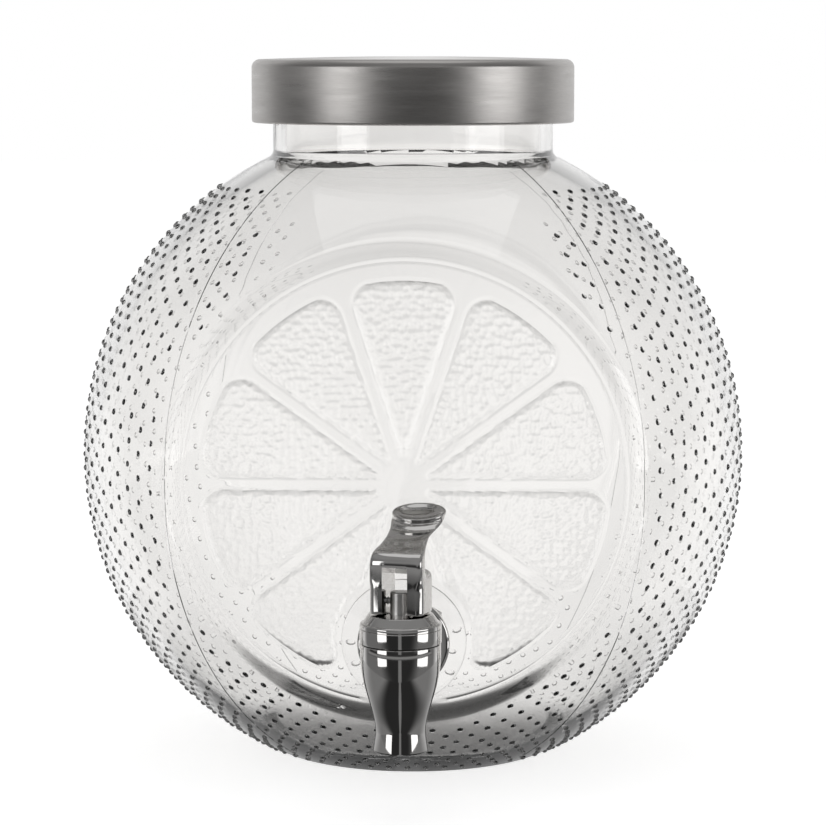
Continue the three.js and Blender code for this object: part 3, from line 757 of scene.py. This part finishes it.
def make_lid_shell():
    """Pressed steel shell, rolled in at its lower edge."""
    flat = LID_RADIUS - LID_EDGE
    edge = LID_HEIGHT - LID_CROWN - LID_EDGE
    inner = LID_RADIUS - LID_SHEET
    inside = arc((flat, edge), LID_EDGE - LID_SHEET, 0, math.pi / 2, 10)
    outside = arc((flat, edge), LID_EDGE, 0, math.pi / 2, 14)
    bead = arc((LID_RADIUS - LID_BEAD, LID_BEAD), LID_BEAD, -math.pi, 0, 12)
    profile = crown(flat, LID_HEIGHT - LID_SHEET, 10)[1:][::-1] + inside[::-1]
    profile += [(inner, 2 * LID_BEAD), (LID_RADIUS - 2 * LID_BEAD, LID_BEAD * 1.3)] + bead
    profile += outside + crown(flat, LID_HEIGHT, 10)[1:]
    return smooth(moved(revolve("lid_steel", profile, JAR_SIDES), z=LID_TOP - LID_HEIGHT), 40)


# Tap

def barrel_profile():
    shoulder = BARREL_TOP - BARREL_STRAIGHT
    span = shoulder + WAIST_DROP
    lip = arc((NOZZLE_RADIUS - NOZZLE_LIP, NOZZLE_LIP - NOZZLE_DROP), NOZZLE_LIP, -math.pi / 2, 0, 6)
    cone = bezier([
        (WAIST_RADIUS, -WAIST_DROP), (WAIST_RADIUS, WAIST_PULL * span - WAIST_DROP),
        (BARREL_RADIUS, shoulder - SHOULDER_PULL * span), (BARREL_RADIUS, shoulder)], 40)
    edge = arc((BARREL_RADIUS - SEAT_GAP, BARREL_TOP - SEAT_GAP), SEAT_GAP, 0, math.pi / 2, 3)
    collar = CHAMBER_RADIUS + COLLAR_WALL
    top = BARREL_TOP + COLLAR_HEIGHT
    return [(0.0, -NOZZLE_DROP)] + lip + cone + edge + [(collar, BARREL_TOP), (collar, top), (0.0, top)]


def shank_profile():
    """Flange and shank, with the shank's thread as rings."""
    front = FLANGE_BACK - FLANGE_THICKNESS
    edge = arc((FLANGE_RADIUS - FLANGE_EDGE, front + FLANGE_EDGE), FLANGE_EDGE, -math.pi / 2, 0, 8)
    profile = [(0.0, front)] + edge + [(FLANGE_RADIUS, FLANGE_BACK), (SHANK_RADIUS, FLANGE_BACK)]
    start = FLANGE_BACK + 2 * SHANK_PITCH
    end = FLANGE_BACK + SHANK_LENGTH
    for height in np.arange(start, end - SHANK_PITCH, SHANK_PITCH):
        profile += [(SHANK_RADIUS, height), (SHANK_RADIUS - SHANK_THREAD, height + SHANK_PITCH / 2)]
    return profile + [(SHANK_RADIUS - SHANK_THREAD, end), (0.0, end)]


def make_tap_body():
    body = revolve("tap_barrel", barrel_profile(), TAP_SIDES)
    neck = rod("neck", SHANK_NECK_RADIUS, 0.0, FLANGE_BACK - FLANGE_THICKNESS / 2, ROD_SIDES, "Y")
    room = rod("room", BONNET_RADIUS + SEAT_GAP, BARREL_TOP, 2 * BARREL_RADIUS, TAP_SIDES)
    body = join(body, cut(neck, room))
    body = join(body, revolve("shank", shank_profile(), ROD_SIDES, "Y"))
    mouth = -NOZZLE_DROP - OVERRUN
    top = BARREL_TOP + COLLAR_HEIGHT + OVERRUN
    bore = revolve("bore", [
        (0.0, mouth), (SPOUT_MOUTH, mouth), (SPOUT_MOUTH, -NOZZLE_DROP), (SPOUT_BORE, -WAIST_DROP),
        (SPOUT_BORE, -SEAT_DROP), (CHAMBER_RADIUS, -SEAT_DROP), (CHAMBER_RADIUS, top), (0.0, top)], ROD_SIDES)
    body = cut(body, bore)
    way = rod("way", SHANK_BORE, 0.0, FLANGE_BACK + SHANK_LENGTH + OVERRUN, BORE_SIDES, "Y")
    return smooth(moved(cut(body, way), y=TAP_Y, z=TAP_HEIGHT), 30)


def make_bonnet():
    """Cap ring with a rounded shoulder and a fine groove under it."""
    ring_top = BONNET_BOTTOM + BONNET_RING
    top = ring_top + BONNET_CONE
    ceiling = top - BONNET_ROOF
    skirt = CHAMBER_RADIUS + COLLAR_WALL + RUN_GAP
    groove = ring_top - BONNET_GROOVE
    low = arc((BONNET_RADIUS - SEAT_GAP, BONNET_BOTTOM + SEAT_GAP), SEAT_GAP, -math.pi / 2, 0, 4)
    shoulder = arc((BONNET_RADIUS - BONNET_EDGE, ring_top - BONNET_EDGE), BONNET_EDGE, 0, math.pi / 2, 8)
    rim = arc((BONNET_TOP_RADIUS - BONNET_RIM, top - BONNET_RIM), BONNET_RIM, BONNET_SLOPE, math.pi / 2, 5)
    profile = [
        (STEM_BORE, top), (STEM_BORE, ceiling + O_RING_DEPTH), (O_RING_SEAT, ceiling + O_RING_DEPTH),
        (O_RING_SEAT, ceiling), (skirt, ceiling), (skirt, BONNET_BOTTOM)] + low
    profile += [(BONNET_RADIUS, groove - GROOVE), (BONNET_RADIUS - GROOVE, groove),
                (BONNET_RADIUS, groove + GROOVE)]
    profile += shoulder + rim
    return smooth(moved(revolve("tap_cap", profile, TAP_SIDES, closed=True), y=TAP_Y, z=TAP_HEIGHT), 30)


# Lever

def through_rows(rows, steps):
    """A smooth curve through rows of numbers, by Catmull and Rom's rule."""
    rows = np.array(rows)
    padded = np.vstack([2 * rows[0] - rows[1], rows, 2 * rows[-1] - rows[-2]])
    result = []
    for i in range(len(rows) - 1):
        a, b, c, d = padded[i:i + 4]
        for t in np.arange(0, 1, 1 / steps):
            bend = (2 * a - 5 * b + 4 * c - d) * t * t + (3 * b - a - 3 * c + d) * t ** 3
            result.append(0.5 * (2 * b + (c - a) * t + bend))
    return result + [rows[-1]]


def squared(values, power):
    """Raised to a power with the sign kept, which squares off an ellipse."""
    return np.sign(values) * np.abs(values) ** power


def make_arm():
    sides = ROD_SIDES
    points, faces = [], []
    rows = through_rows(ARM_SHARES, 6)
    angles = np.arange(sides) * 2 * math.pi / sides
    for height, width, depth, lean, tilt, power in rows:
        across = HUB_HALF * width * squared(np.cos(angles), power)
        back = PAD_HALF_DEPTH * depth * squared(np.sin(angles), power)
        turn = PAD_TILT * tilt
        y = PAD_REACH * lean + back * math.cos(turn)
        points.extend(np.stack([across, y, PAD_HEIGHT * height + back * math.sin(turn)], 1))
    for i in range(len(rows) - 1):
        faces += ring_faces(i * sides, (i + 1) * sides, sides, sides)
    last = (len(rows) - 1) * sides
    faces.append(tuple(range(sides)))
    faces.append(tuple(reversed(range(last, last + sides))))
    return make_object("lever_metal", points, faces)


def make_pad():
    profile = [tuple(row) for row in through_rows(PAD_SHARES, 3)]
    profile[0], profile[-1] = PAD_SHARES[0], PAD_SHARES[-1]
    pad = revolve("pad", [(max(r, 0) * PAD_HALF_WIDTH, h * PAD_THICKNESS) for r, h in profile], ROD_SIDES)
    pad.data.transform(Matrix.Diagonal((1, PAD_HALF_DEPTH / PAD_HALF_WIDTH, 1, 1)))
    pad.data.transform(Matrix.Rotation(PAD_TILT, 4, "X"))
    return moved(pad, y=PAD_REACH, z=PAD_HEIGHT)


def prism(name, outline, low, high, place):
    """A closed prism over an outline of pairs; place turns (a, b, height) into a point."""
    count = len(outline)
    points = [place(a, b, low) for a, b in outline] + [place(a, b, high) for a, b in outline]
    faces = ring_faces(0, count, count, count)
    faces += [tuple(range(count)), tuple(reversed(range(count, 2 * count)))]
    return make_object(name, points, faces)


def side_prism(name, outline, half):
    """A prism along X over an outline of (forward, height)."""
    return prism(name, outline, -half, half, lambda forward, height, x: (x, -forward, height))


def make_crest():
    """The room that the hub's upper edges are rounded to."""
    quarter = math.pi / 2
    side = HUB_HALF + OVERRUN
    crest = CHEEK_HEIGHT - CHEEK_EDGE
    front = [(-side, -OVERRUN), (side, -OVERRUN), (side, 0.0)]
    front += arc((HUB_HALF - CHEEK_EDGE, crest), CHEEK_EDGE, 0, quarter, 16)
    front += arc((CHEEK_EDGE - HUB_HALF, crest), CHEEK_EDGE, quarter, 2 * quarter, 16)
    front += [(-side, 0.0)]
    reach = HUB_BACK + 2 * OVERRUN
    return prism("crest", front, -reach, reach, lambda x, z, y: (x, y, z))


def make_hub():
    """The lever's foot: a block with round upright corners, a round back and rounded upper edges."""
    across, ahead, behind = HUB_HALF - HUB_CORNER, HUB_FRONT - HUB_CORNER, HUB_BACK - HUB_CORNER
    quarter = math.pi / 2
    corners = [(across, ahead), (-across, ahead), (-across, -behind), (across, -behind)]
    plan = [point for i, corner in enumerate(corners)
            for point in arc(corner, HUB_CORNER, i * quarter, (i + 1) * quarter, 10)]
    hub = prism("hub", plan, 0.0, CHEEK_HEIGHT, lambda x, forward, z: (x, -forward, z))
    centre = (CHEEK_ROUND - HUB_BACK, CHEEK_HEIGHT - CHEEK_ROUND)
    beyond = -(HUB_BACK + OVERRUN)
    over = CHEEK_HEIGHT + OVERRUN
    outline = [(beyond, centre[1]), (beyond, over), (centre[0], over)]
    outline += arc(centre, CHEEK_ROUND, quarter, 2 * quarter, 16)
    hub = cut(hub, side_prism("corner", outline, HUB_HALF + OVERRUN))
    return combine(hub, make_crest(), "INTERSECT")


def cam_cutter():
    rate = STEM_LIFT / LEVER_THROW
    outline = [(rate, 0.0)]
    for tip in np.linspace(0, LEVER_THROW, 17)[1:]:
        drop = PIN_HEIGHT + rate * tip
        outline.append((drop * math.sin(tip) + rate * math.cos(tip),
                        PIN_HEIGHT - drop * math.cos(tip) + rate * math.sin(tip)))
    forward, height = outline[-1]
    far = HUB_FRONT + 2 * OVERRUN
    outline.append((far, height + (far - forward) * math.tan(LEVER_THROW)))
    behind = -(HUB_BACK + OVERRUN)
    outline += [(far, -OVERRUN), (behind, -OVERRUN), (behind, 0.0)]
    return side_prism("cam", outline, HUB_HALF + OVERRUN)


def slot_cutter():
    """Room for the stem, open in front, behind and below, under a roof that falls to the back."""
    fall = (SLOT_FRONT - SLOT_BACK) / (HUB_FRONT + HUB_BACK) * OVERRUN
    front, back = HUB_FRONT + OVERRUN, -(HUB_BACK + OVERRUN)
    outline = [(back, -OVERRUN), (front, -OVERRUN), (front, SLOT_FRONT + fall), (back, SLOT_BACK - fall)]
    return side_prism("slot", outline, STEM_RADIUS + SLOT_GAP)


def pin_cutter():
    low = -(HUB_HALF + OVERRUN)
    hole = rod("pin_hole", PIN_RADIUS + RUN_GAP, low, PIN_BLIND, PIN_SIDES)
    hole.data.transform(Matrix.Rotation(math.pi / 2, 4, "Y"))
    return moved(hole, z=PIN_HEIGHT)


def soften(obj, voxel, rounds):
    """Melts joined solids into one casting with soft inner corners."""
    remesh = obj.modifiers.new("remesh", "REMESH")
    remesh.mode = "VOXEL"
    remesh.voxel_size = voxel * MM
    relax = obj.modifiers.new("relax", "SMOOTH")
    relax.factor = 0.5
    relax.iterations = rounds
    return apply_modifiers(obj)


def make_lever():
    lever = join(join(make_arm(), make_hub()), make_pad())
    lever = soften(lever, LEVER_VOXEL, LEVER_ROUNDS)
    lever = cut(cut(cut(lever, cam_cutter()), slot_cutter()), pin_cutter())
    return smooth(moved(lever, y=TAP_Y, z=FOOT_Z, turn=SWIVEL), 32)


def make_stem():
    """Chromed rod that the lever lifts, with a shoulder for the spring and a tip for the plug."""
    top = FOOT_Z - TAP_HEIGHT + PIN_HEIGHT + STEM_RISE
    shoulder = SHOULDER_LOW + SHOULDER_THICKNESS
    rim = arc((STEM_RADIUS - STEM_EDGE, top - STEM_EDGE), STEM_EDGE, 0, math.pi / 2, 8)
    stem = revolve("stem", [
        (0.0, STEM_TIP), (STEM_TIP_RADIUS, STEM_TIP), (STEM_TIP_RADIUS, STEM_LOW), (STEM_RADIUS, STEM_LOW),
        (STEM_RADIUS, SHOULDER_LOW), (SHOULDER_RADIUS, SHOULDER_LOW), (SHOULDER_RADIUS, shoulder),
        (STEM_RADIUS, shoulder)] + rim + [(0.0, top)], ROD_SIDES)
    hole = rod("pin_hole", PIN_RADIUS + RUN_GAP, -STEM_RADIUS - OVERRUN, STEM_RADIUS + OVERRUN, PIN_SIDES)
    hole.data.transform(Matrix.Rotation(math.pi / 2, 4, "Y"))
    stem = cut(stem, moved(hole, z=FOOT_Z - TAP_HEIGHT + PIN_HEIGHT))
    return smooth(moved(stem, y=TAP_Y, z=TAP_HEIGHT, turn=SWIVEL), 30)


def spring_room():
    """Height of the spring's lowest and highest point above the shank's axis."""
    ceiling = BONNET_BOTTOM + BONNET_RING + BONNET_CONE - BONNET_ROOF
    return SHOULDER_LOW + SHOULDER_THICKNESS + SEAT_GAP, ceiling - SEAT_GAP


def make_spring():
    """Helical spring between the stem's shoulder and the bonnet's ceiling."""
    bottom, top = spring_room()
    low, high = bottom + SPRING_WIRE, top - SPRING_WIRE
    path = []
    for share in np.linspace(0, 1, SPRING_STEPS + 1):
        angle = 2 * math.pi * SPRING_TURNS * share
        height = low + (high - low) * share
        path.append((SPRING_RADIUS * math.cos(angle), SPRING_RADIUS * math.sin(angle), height))
    spring = tube("spring_wire", path, [SPRING_WIRE] * len(path), TUBE_SIDES)
    return smooth(moved(spring, y=TAP_Y, z=TAP_HEIGHT), 40)


# Materials

class Nodes:
    """The node tree of a material or world, with short calls to add and link nodes."""

    def __init__(self, owner):
        self.owner = owner
        owner.use_nodes = True
        self.tree = owner.node_tree
        self.tree.nodes.clear()

    def add(self, kind, settings=(), **inputs):
        node = self.tree.nodes.new(kind)
        for key, value in dict(settings).items():
            setattr(node, key, value)
        for key, value in inputs.items():
            numbered = key[0] == "i" and key[1:].isdigit()
            socket = node.inputs[int(key[1:]) if numbered else key.replace("_", " ")]
            if isinstance(value, bpy.types.NodeSocket):
                self.tree.links.new(value, socket)
            else:
                socket.default_value = value
        return node

    def math(self, operation, first, *others):
        values = {f"i{index + 1}": value for index, value in enumerate(others)}
        return self.add("ShaderNodeMath", {"operation": operation}, i0=first, **values).outputs["Value"]

    def glow(self, level):
        """A surface that shines evenly at a level, where 1 is white."""
        return self.add("ShaderNodeEmission", Color=WHITE, Strength=level).outputs["Emission"]

    def mixed(self, share, low, high):
        return self.add("ShaderNodeMixShader", Fac=share, i1=low, i2=high).outputs["Shader"]

    def finish(self, shader):
        self.add("ShaderNodeOutputMaterial", Surface=shader)
        return self.owner


def material_nodes(name):
    return Nodes(bpy.data.materials.new(name))


def noise(nodes, vector, scale, detail=3.0, roughness=0.5):
    return nodes.add("ShaderNodeTexNoise", Vector=vector, Scale=scale, Detail=detail,
                     Roughness=roughness).outputs["Fac"]


def spread(nodes, value, low, high):
    """Maps 0..1 to low..high."""
    return nodes.add("ShaderNodeMapRange", Value=value, To_Min=low, To_Max=high).outputs["Result"]


def stepped(nodes, value, start, end, low, high):
    """A soft step from low to high while the value goes from start to end."""
    step = nodes.add("ShaderNodeMapRange", {"interpolation_type": "SMOOTHSTEP"}, Value=value,
                     To_Min=low, To_Max=high)
    step.inputs["From Min"].default_value = start
    step.inputs["From Max"].default_value = end
    return step.outputs["Result"]


def blended(nodes, share, low, high):
    """From low at share 0 to high at share 1."""
    return nodes.add("ShaderNodeMix", Factor=share, i2=low, i3=high).outputs["Result"]


def rippled(nodes, level, x, y):
    """The level with faint upright bands about the jar's axis, which bring out upright edges in glass."""
    phase = nodes.math("MULTIPLY", nodes.math("ARCTAN2", x, y), BAND_RATE)
    share = nodes.math("MULTIPLY_ADD", nodes.math("SINE", phase), BAND_DEPTH / 2, 1 - BAND_DEPTH / 2)
    return nodes.math("MULTIPLY", level, share)


def toned(nodes, share, low, high):
    """A colour from low at share 0 to high at share 1."""
    tone = nodes.add("ShaderNodeMix", {"data_type": "RGBA"}, Factor=share)
    tone.inputs[6].default_value = (*low, 1)
    tone.inputs[7].default_value = (*high, 1)
    return tone.outputs[2]


def bump(nodes, height, distance, strength=1.0):
    rise = nodes.add("ShaderNodeBump", Height=height, Distance=distance * MM, Strength=strength)
    return rise.outputs["Normal"]


def glass_material():
    """Pressed glass: clear, slightly wavy, and lets most light through in shadows."""
    nodes = material_nodes("pressed_glass")
    place = nodes.add("ShaderNodeTexCoord").outputs["Object"]
    wave = noise(nodes, place, 28.0, 2.0, 0.4)
    grain = noise(nodes, place, 900.0, 2.0)
    normal = bump(nodes, wave, 0.5, 0.35)
    rough = spread(nodes, grain, 0.0, 0.03)
    shader = nodes.add("ShaderNodeBsdfPrincipled", Base_Color=GLASS_COLOUR, Roughness=rough,
                       IOR=1.5, Transmission_Weight=1.0, Normal=normal).outputs["BSDF"]
    clear = nodes.add("ShaderNodeBsdfTransparent", Color=GLASS_SHADOW).outputs["BSDF"]
    shadow = nodes.add("ShaderNodeLightPath").outputs["Is Shadow Ray"]
    return nodes.finish(nodes.mixed(shadow, shader, clear))


def brushed_material():
    """Steel brushed in fine rings about the lid's axis."""
    nodes = material_nodes("brushed_lid_steel")
    place = nodes.add("ShaderNodeTexCoord").outputs["Object"]
    parts = nodes.add("ShaderNodeSeparateXYZ", Vector=place)
    x, y, z = (parts.outputs[axis] for axis in "XYZ")
    turn = nodes.math("ARCTAN2", y, x)
    flat = nodes.add("ShaderNodeCombineXYZ", X=x, Y=y)
    radius = nodes.add("ShaderNodeVectorMath", {"operation": "LENGTH"}, i0=flat.outputs[0]).outputs["Value"]
    slow = nodes.math("MULTIPLY", turn, BRUSH_STRETCH)
    rings = nodes.add("ShaderNodeCombineXYZ", X=radius, Y=slow, Z=z).outputs["Vector"]
    lines = noise(nodes, rings, 2600.0, 4.0, 0.7)
    broad = noise(nodes, rings, 500.0, 2.0)
    tone = toned(nodes, lines, *STEEL_TONES)
    tangent = nodes.add("ShaderNodeTangent", {"direction_type": "RADIAL", "axis": "Z"}).outputs["Tangent"]
    shader = nodes.add("ShaderNodeBsdfPrincipled", Base_Color=tone, Metallic=1.0,
                       Roughness=spread(nodes, broad, 0.24, 0.36), Anisotropic=0.75, Tangent=tangent,
                       Normal=bump(nodes, lines, 0.02, 0.35))
    return nodes.finish(shader.outputs["BSDF"])


def chrome_material(name, low, high):
    """Dark plating with faint marks of handling, whose roughness goes from low to high."""
    nodes = material_nodes(name)
    place = nodes.add("ShaderNodeTexCoord").outputs["Object"]
    marks = noise(nodes, place, 120.0, 5.0, 0.6)
    tone = toned(nodes, marks, *CHROME_TONES)
    shader = nodes.add("ShaderNodeBsdfPrincipled", Base_Color=tone, Metallic=1.0,
                       Roughness=spread(nodes, marks, low, high),
                       Normal=bump(nodes, noise(nodes, place, 300.0), 0.01, 0.2))
    return nodes.finish(shader.outputs["BSDF"])


def moulded_material(name, low, high, rough, sheen_scale):
    """A moulded part in one tone with a fine grain."""
    nodes = material_nodes(name)
    place = nodes.add("ShaderNodeTexCoord").outputs["Object"]
    cloud = noise(nodes, place, 90.0, 4.0)
    grain = noise(nodes, place, sheen_scale, 2.0)
    tone = toned(nodes, cloud, low, high)
    shader = nodes.add("ShaderNodeBsdfPrincipled", Base_Color=tone,
                       Roughness=spread(nodes, grain, rough - 0.06, rough + 0.06),
                       Normal=bump(nodes, grain, 0.02, 0.4))
    return nodes.finish(shader.outputs["BSDF"])


def spring_material():
    nodes = material_nodes("drawn_wire")
    place = nodes.add("ShaderNodeTexCoord").outputs["Object"]
    lines = noise(nodes, place, 1500.0, 3.0, 0.6)
    tone = toned(nodes, lines, *WIRE_TONES)
    shader = nodes.add("ShaderNodeBsdfPrincipled", Base_Color=tone, Metallic=1.0,
                       Roughness=spread(nodes, lines, 0.2, 0.34))
    return nodes.finish(shader.outputs["BSDF"])


def give(obj, material):
    obj.data.materials.clear()
    obj.data.materials.append(material)


# Stage

def under_glass(nodes, place, away):
    """The floor as glass shows it: pale and graded behind the jar, and a painted shadow that makes it dark
    just under the jar's front half.
    """
    far = stepped(nodes, place["Y"], 0.0, FLOOR_HALF * MM, NEAR_TONE, HORIZON_TONE)
    far = rippled(nodes, far, place["X"], nodes.math("ADD", place["Y"], BALL_RADIUS * MM))
    # Painted shadow: dark in front of the jar's axis, fading out with distance from the axis
    behind = stepped(nodes, place["Y"], PAINTED_SHADOW_FRONT * MM, PAINTED_SHADOW_BACK * MM, 0.0, 1.0)
    clear = blended(nodes, stepped(nodes, away, PAINTED_SHADOW_NEAR * MM, PAINTED_SHADOW_FAR * MM, 0.0, 1.0), behind, 1.0)
    return nodes.glow(blended(nodes, clear, PAINTED_SHADOW_TONE, far))


def beneath_metal(nodes, place, away):
    """The floor as metal shows it: a small dark table with grey sides, then nothing, then a grey room."""
    across = nodes.math("ABSOLUTE", place["X"])
    middle = stepped(nodes, across, STRIP_HALF * MM, STRIP_FADE * STRIP_HALF * MM, STRIP_TONE, TABLE_TONE)
    beside = stepped(nodes, across, PANEL_START * MM, PANEL_END * MM, middle, PANEL_TONE)
    table = nodes.glow(stepped(nodes, place["Y"], -BALL_RADIUS * MM, 0.0, beside, BACK_TONE))
    gone = nodes.add("ShaderNodeBsdfTransparent", Color=WHITE).outputs["BSDF"]
    near = nodes.mixed(nodes.math("GREATER_THAN", away, TABLE_EDGE * MM), table, gone)
    room = stepped(nodes, away, ROOM_START * MM, ROOM_END * MM, ROOM_TONE, CEILING_TONE)
    room = stepped(nodes, away, ROOM_FAR_START * MM, ROOM_FAR_END * MM, room, ROOM_FAR_TONE)
    outside = nodes.math("GREATER_THAN", away, ROOM_START * MM)
    ahead = nodes.math("LESS_THAN", place["Y"], 0.0)
    return nodes.mixed(nodes.math("MULTIPLY", outside, ahead), near, nodes.glow(room))


def floor_material():
    """White to the camera, still darkened by shadows, and a studio's floor to metal and glass."""
    nodes = material_nodes("floor")
    diffuse = nodes.add("ShaderNodeBsdfDiffuse", Color=FLOOR_COLOUR).outputs["BSDF"]
    white = nodes.add("ShaderNodeAddShader", i0=diffuse, i1=nodes.glow(FLOOR_GLOW)).outputs["Shader"]
    coordinates = nodes.add("ShaderNodeTexCoord").outputs
    place = nodes.add("ShaderNodeSeparateXYZ", Vector=coordinates["Object"]).outputs
    length = nodes.add("ShaderNodeVectorMath", {"operation": "LENGTH"}, i0=coordinates["Object"])
    away = length.outputs["Value"]
    path = nodes.add("ShaderNodeLightPath").outputs
    shader = nodes.mixed(path["Is Glossy Ray"], diffuse, beneath_metal(nodes, place, away))
    shader = nodes.mixed(path["Is Transmission Ray"], shader, under_glass(nodes, place, away))
    return nodes.finish(nodes.mixed(path["Is Camera Ray"], shader, white))


def make_floor():
    half = FLOOR_HALF
    floor = make_object("floor", [(-half, -half, 0), (half, -half, 0), (half, half, 0), (-half, half, 0)],
                        [(0, 1, 2, 3)])
    give(floor, floor_material())


def studio_round_metal(nodes, way):
    """White behind the object, dark in front of it and grey beside and above it."""
    across = nodes.math("ABSOLUTE", way["X"])
    middle = stepped(nodes, across, STRIP_SINE, STRIP_FADE * STRIP_SINE, STRIP_TONE, FRONT_TONE)
    front = stepped(nodes, way["Z"], *FRONT_RISE, middle, CEILING_TONE)
    level = blended(nodes, stepped(nodes, way["Y"], *FRONT_LOOK, 0.0, 1.0), front, SIDE_TONE)
    level = blended(nodes, stepped(nodes, way["Y"], *BACK_LOOK, 0.0, 1.0), level, 1.0)
    return blended(nodes, stepped(nodes, way["Z"], *CEILING_LOOK, 0.0, 1.0), level, CEILING_TONE)


def studio_through_glass(nodes, way):
    """Pale behind and far ahead, darker with height, and grey beside the object."""
    above = stepped(nodes, way["Z"], *BACKDROP_RISE, HORIZON_TONE, CEILING_TONE)
    above = rippled(nodes, above, way["X"], way["Y"])
    ahead = stepped(nodes, way["Y"], *AHEAD_LOOK, 1.0, 0.0)
    clear = blended(nodes, stepped(nodes, way["Y"], *BESIDE_LOOK, 0.0, 1.0), ahead, 1.0)
    return blended(nodes, clear, BESIDE_TONE, above)


def make_world():
    """White all round to the camera, a studio to metal and glass, and a plain level to matt surfaces."""
    world = bpy.data.worlds.new("studio")
    bpy.context.scene.world = world
    nodes = Nodes(world)
    coordinates = nodes.add("ShaderNodeTexCoord").outputs
    way = nodes.add("ShaderNodeSeparateXYZ", Vector=coordinates["Generated"]).outputs
    path = nodes.add("ShaderNodeLightPath").outputs
    level = blended(nodes, path["Is Glossy Ray"], PLAIN_LEVEL, studio_round_metal(nodes, way))
    level = blended(nodes, path["Is Transmission Ray"], level, studio_through_glass(nodes, way))
    level = blended(nodes, path["Is Camera Ray"], level, 1.0)
    surround = nodes.add("ShaderNodeBackground", Color=WHITE, Strength=level).outputs["Background"]
    nodes.add("ShaderNodeOutputWorld", Surface=surround)


def make_lamp(name, at, towards, width, height, level):
    """A soft box that shows as a plain surface of the given level."""
    light = bpy.data.lights.new(name, "AREA")
    light.shape = "RECTANGLE"
    light.size, light.size_y = width * MM, height * MM
    light.energy = level * math.pi * light.size * light.size_y
    lamp = bpy.data.objects.new(name, light)
    lamp.location = Vector(at) * MM
    way = (Vector(towards) - Vector(at)).normalized()
    lamp.rotation_euler = way.to_track_quat("-Z", "Y").to_euler()
    bpy.context.scene.collection.objects.link(lamp)


def make_camera():
    data = bpy.data.cameras.new("camera")
    data.sensor_width = SENSOR
    data.lens = PHOTO_FOCAL / PHOTO_WIDTH * SENSOR
    data.clip_start = NEAREST
    camera = bpy.data.objects.new("camera", data)
    camera.location = CAMERA_AT * MM
    camera.rotation_euler = (math.pi / 2 - CAMERA_PITCH, 0, CAMERA_YAW)
    bpy.context.scene.collection.objects.link(camera)
    bpy.context.scene.camera = camera


def make_stage():
    bpy.context.scene.view_settings.view_transform = "Standard"
    make_camera()
    make_floor()
    make_world()
    for name, first, last in (("left_box", *LEFT_BOX), ("right_box", *RIGHT_BOX)):
        angle = math.radians(first + last) / 2
        width = 2 * BOX_DISTANCE * math.tan(math.radians(last - first) / 2)
        middle = (BOX_LOW + BOX_HIGH) / 2
        at = (BOX_DISTANCE * math.sin(angle), TAP_Y - BOX_DISTANCE * math.cos(angle), middle)
        make_lamp(name, at, (0, TAP_Y, middle), width, BOX_HIGH - BOX_LOW, BOX_LEVEL)
    make_lamp("top_box", (0, TOP_BACK, TOP_HEIGHT), (0, TOP_BACK, 0), TOP_SIZE, TOP_SIZE, TOP_LEVEL)


# Put together

def dress(piece, node, body, material):
    give(piece, material)
    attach(piece, body)
    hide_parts(node)


def build():
    glass = glass_material()
    steel = brushed_material()
    chrome = chrome_material("tap_plating", 0.03, 0.09)
    satin = chrome_material("stem_plating", 0.3, 0.4)
    white = moulded_material("white_plastic", *PLASTIC_TONES, 0.42, 1400.0)
    silicone = moulded_material("milky_silicone", *SILICONE_TONES, 0.5, 1100.0)
    rubber = moulded_material("black_rubber", *RUBBER_TONES, 0.65, 1200.0)
    wire = spring_material()
    by_slot = {"clear_glass": glass, "brushed_steel": steel, "tap_chrome": chrome, "spring_steel": wire,
               "white_plastic": white, "clear_silicone": silicone, "black_rubber": rubber}
    for part in frame["record"]["subparts"]:
        give(frame["nodes"][part["node"]], by_slot[part["material_slot"]])
    dress(make_jar(), "glass_jar", "jar", glass)
    dress(make_lid_shell(), "lid_shell", "lid", steel)
    dress(make_tap_body(), "tap_body", "jar", chrome)
    dress(make_bonnet(), "tap_bonnet", "jar", chrome)
    dress(make_lever(), "lever", "handle", chrome)
    dress(make_stem(), "valve_stem", "valve", satin)
    spring = make_spring()
    dress(spring, "valve_spring", "valve_turn", wire)
    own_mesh(spring)


build()
make_stage()
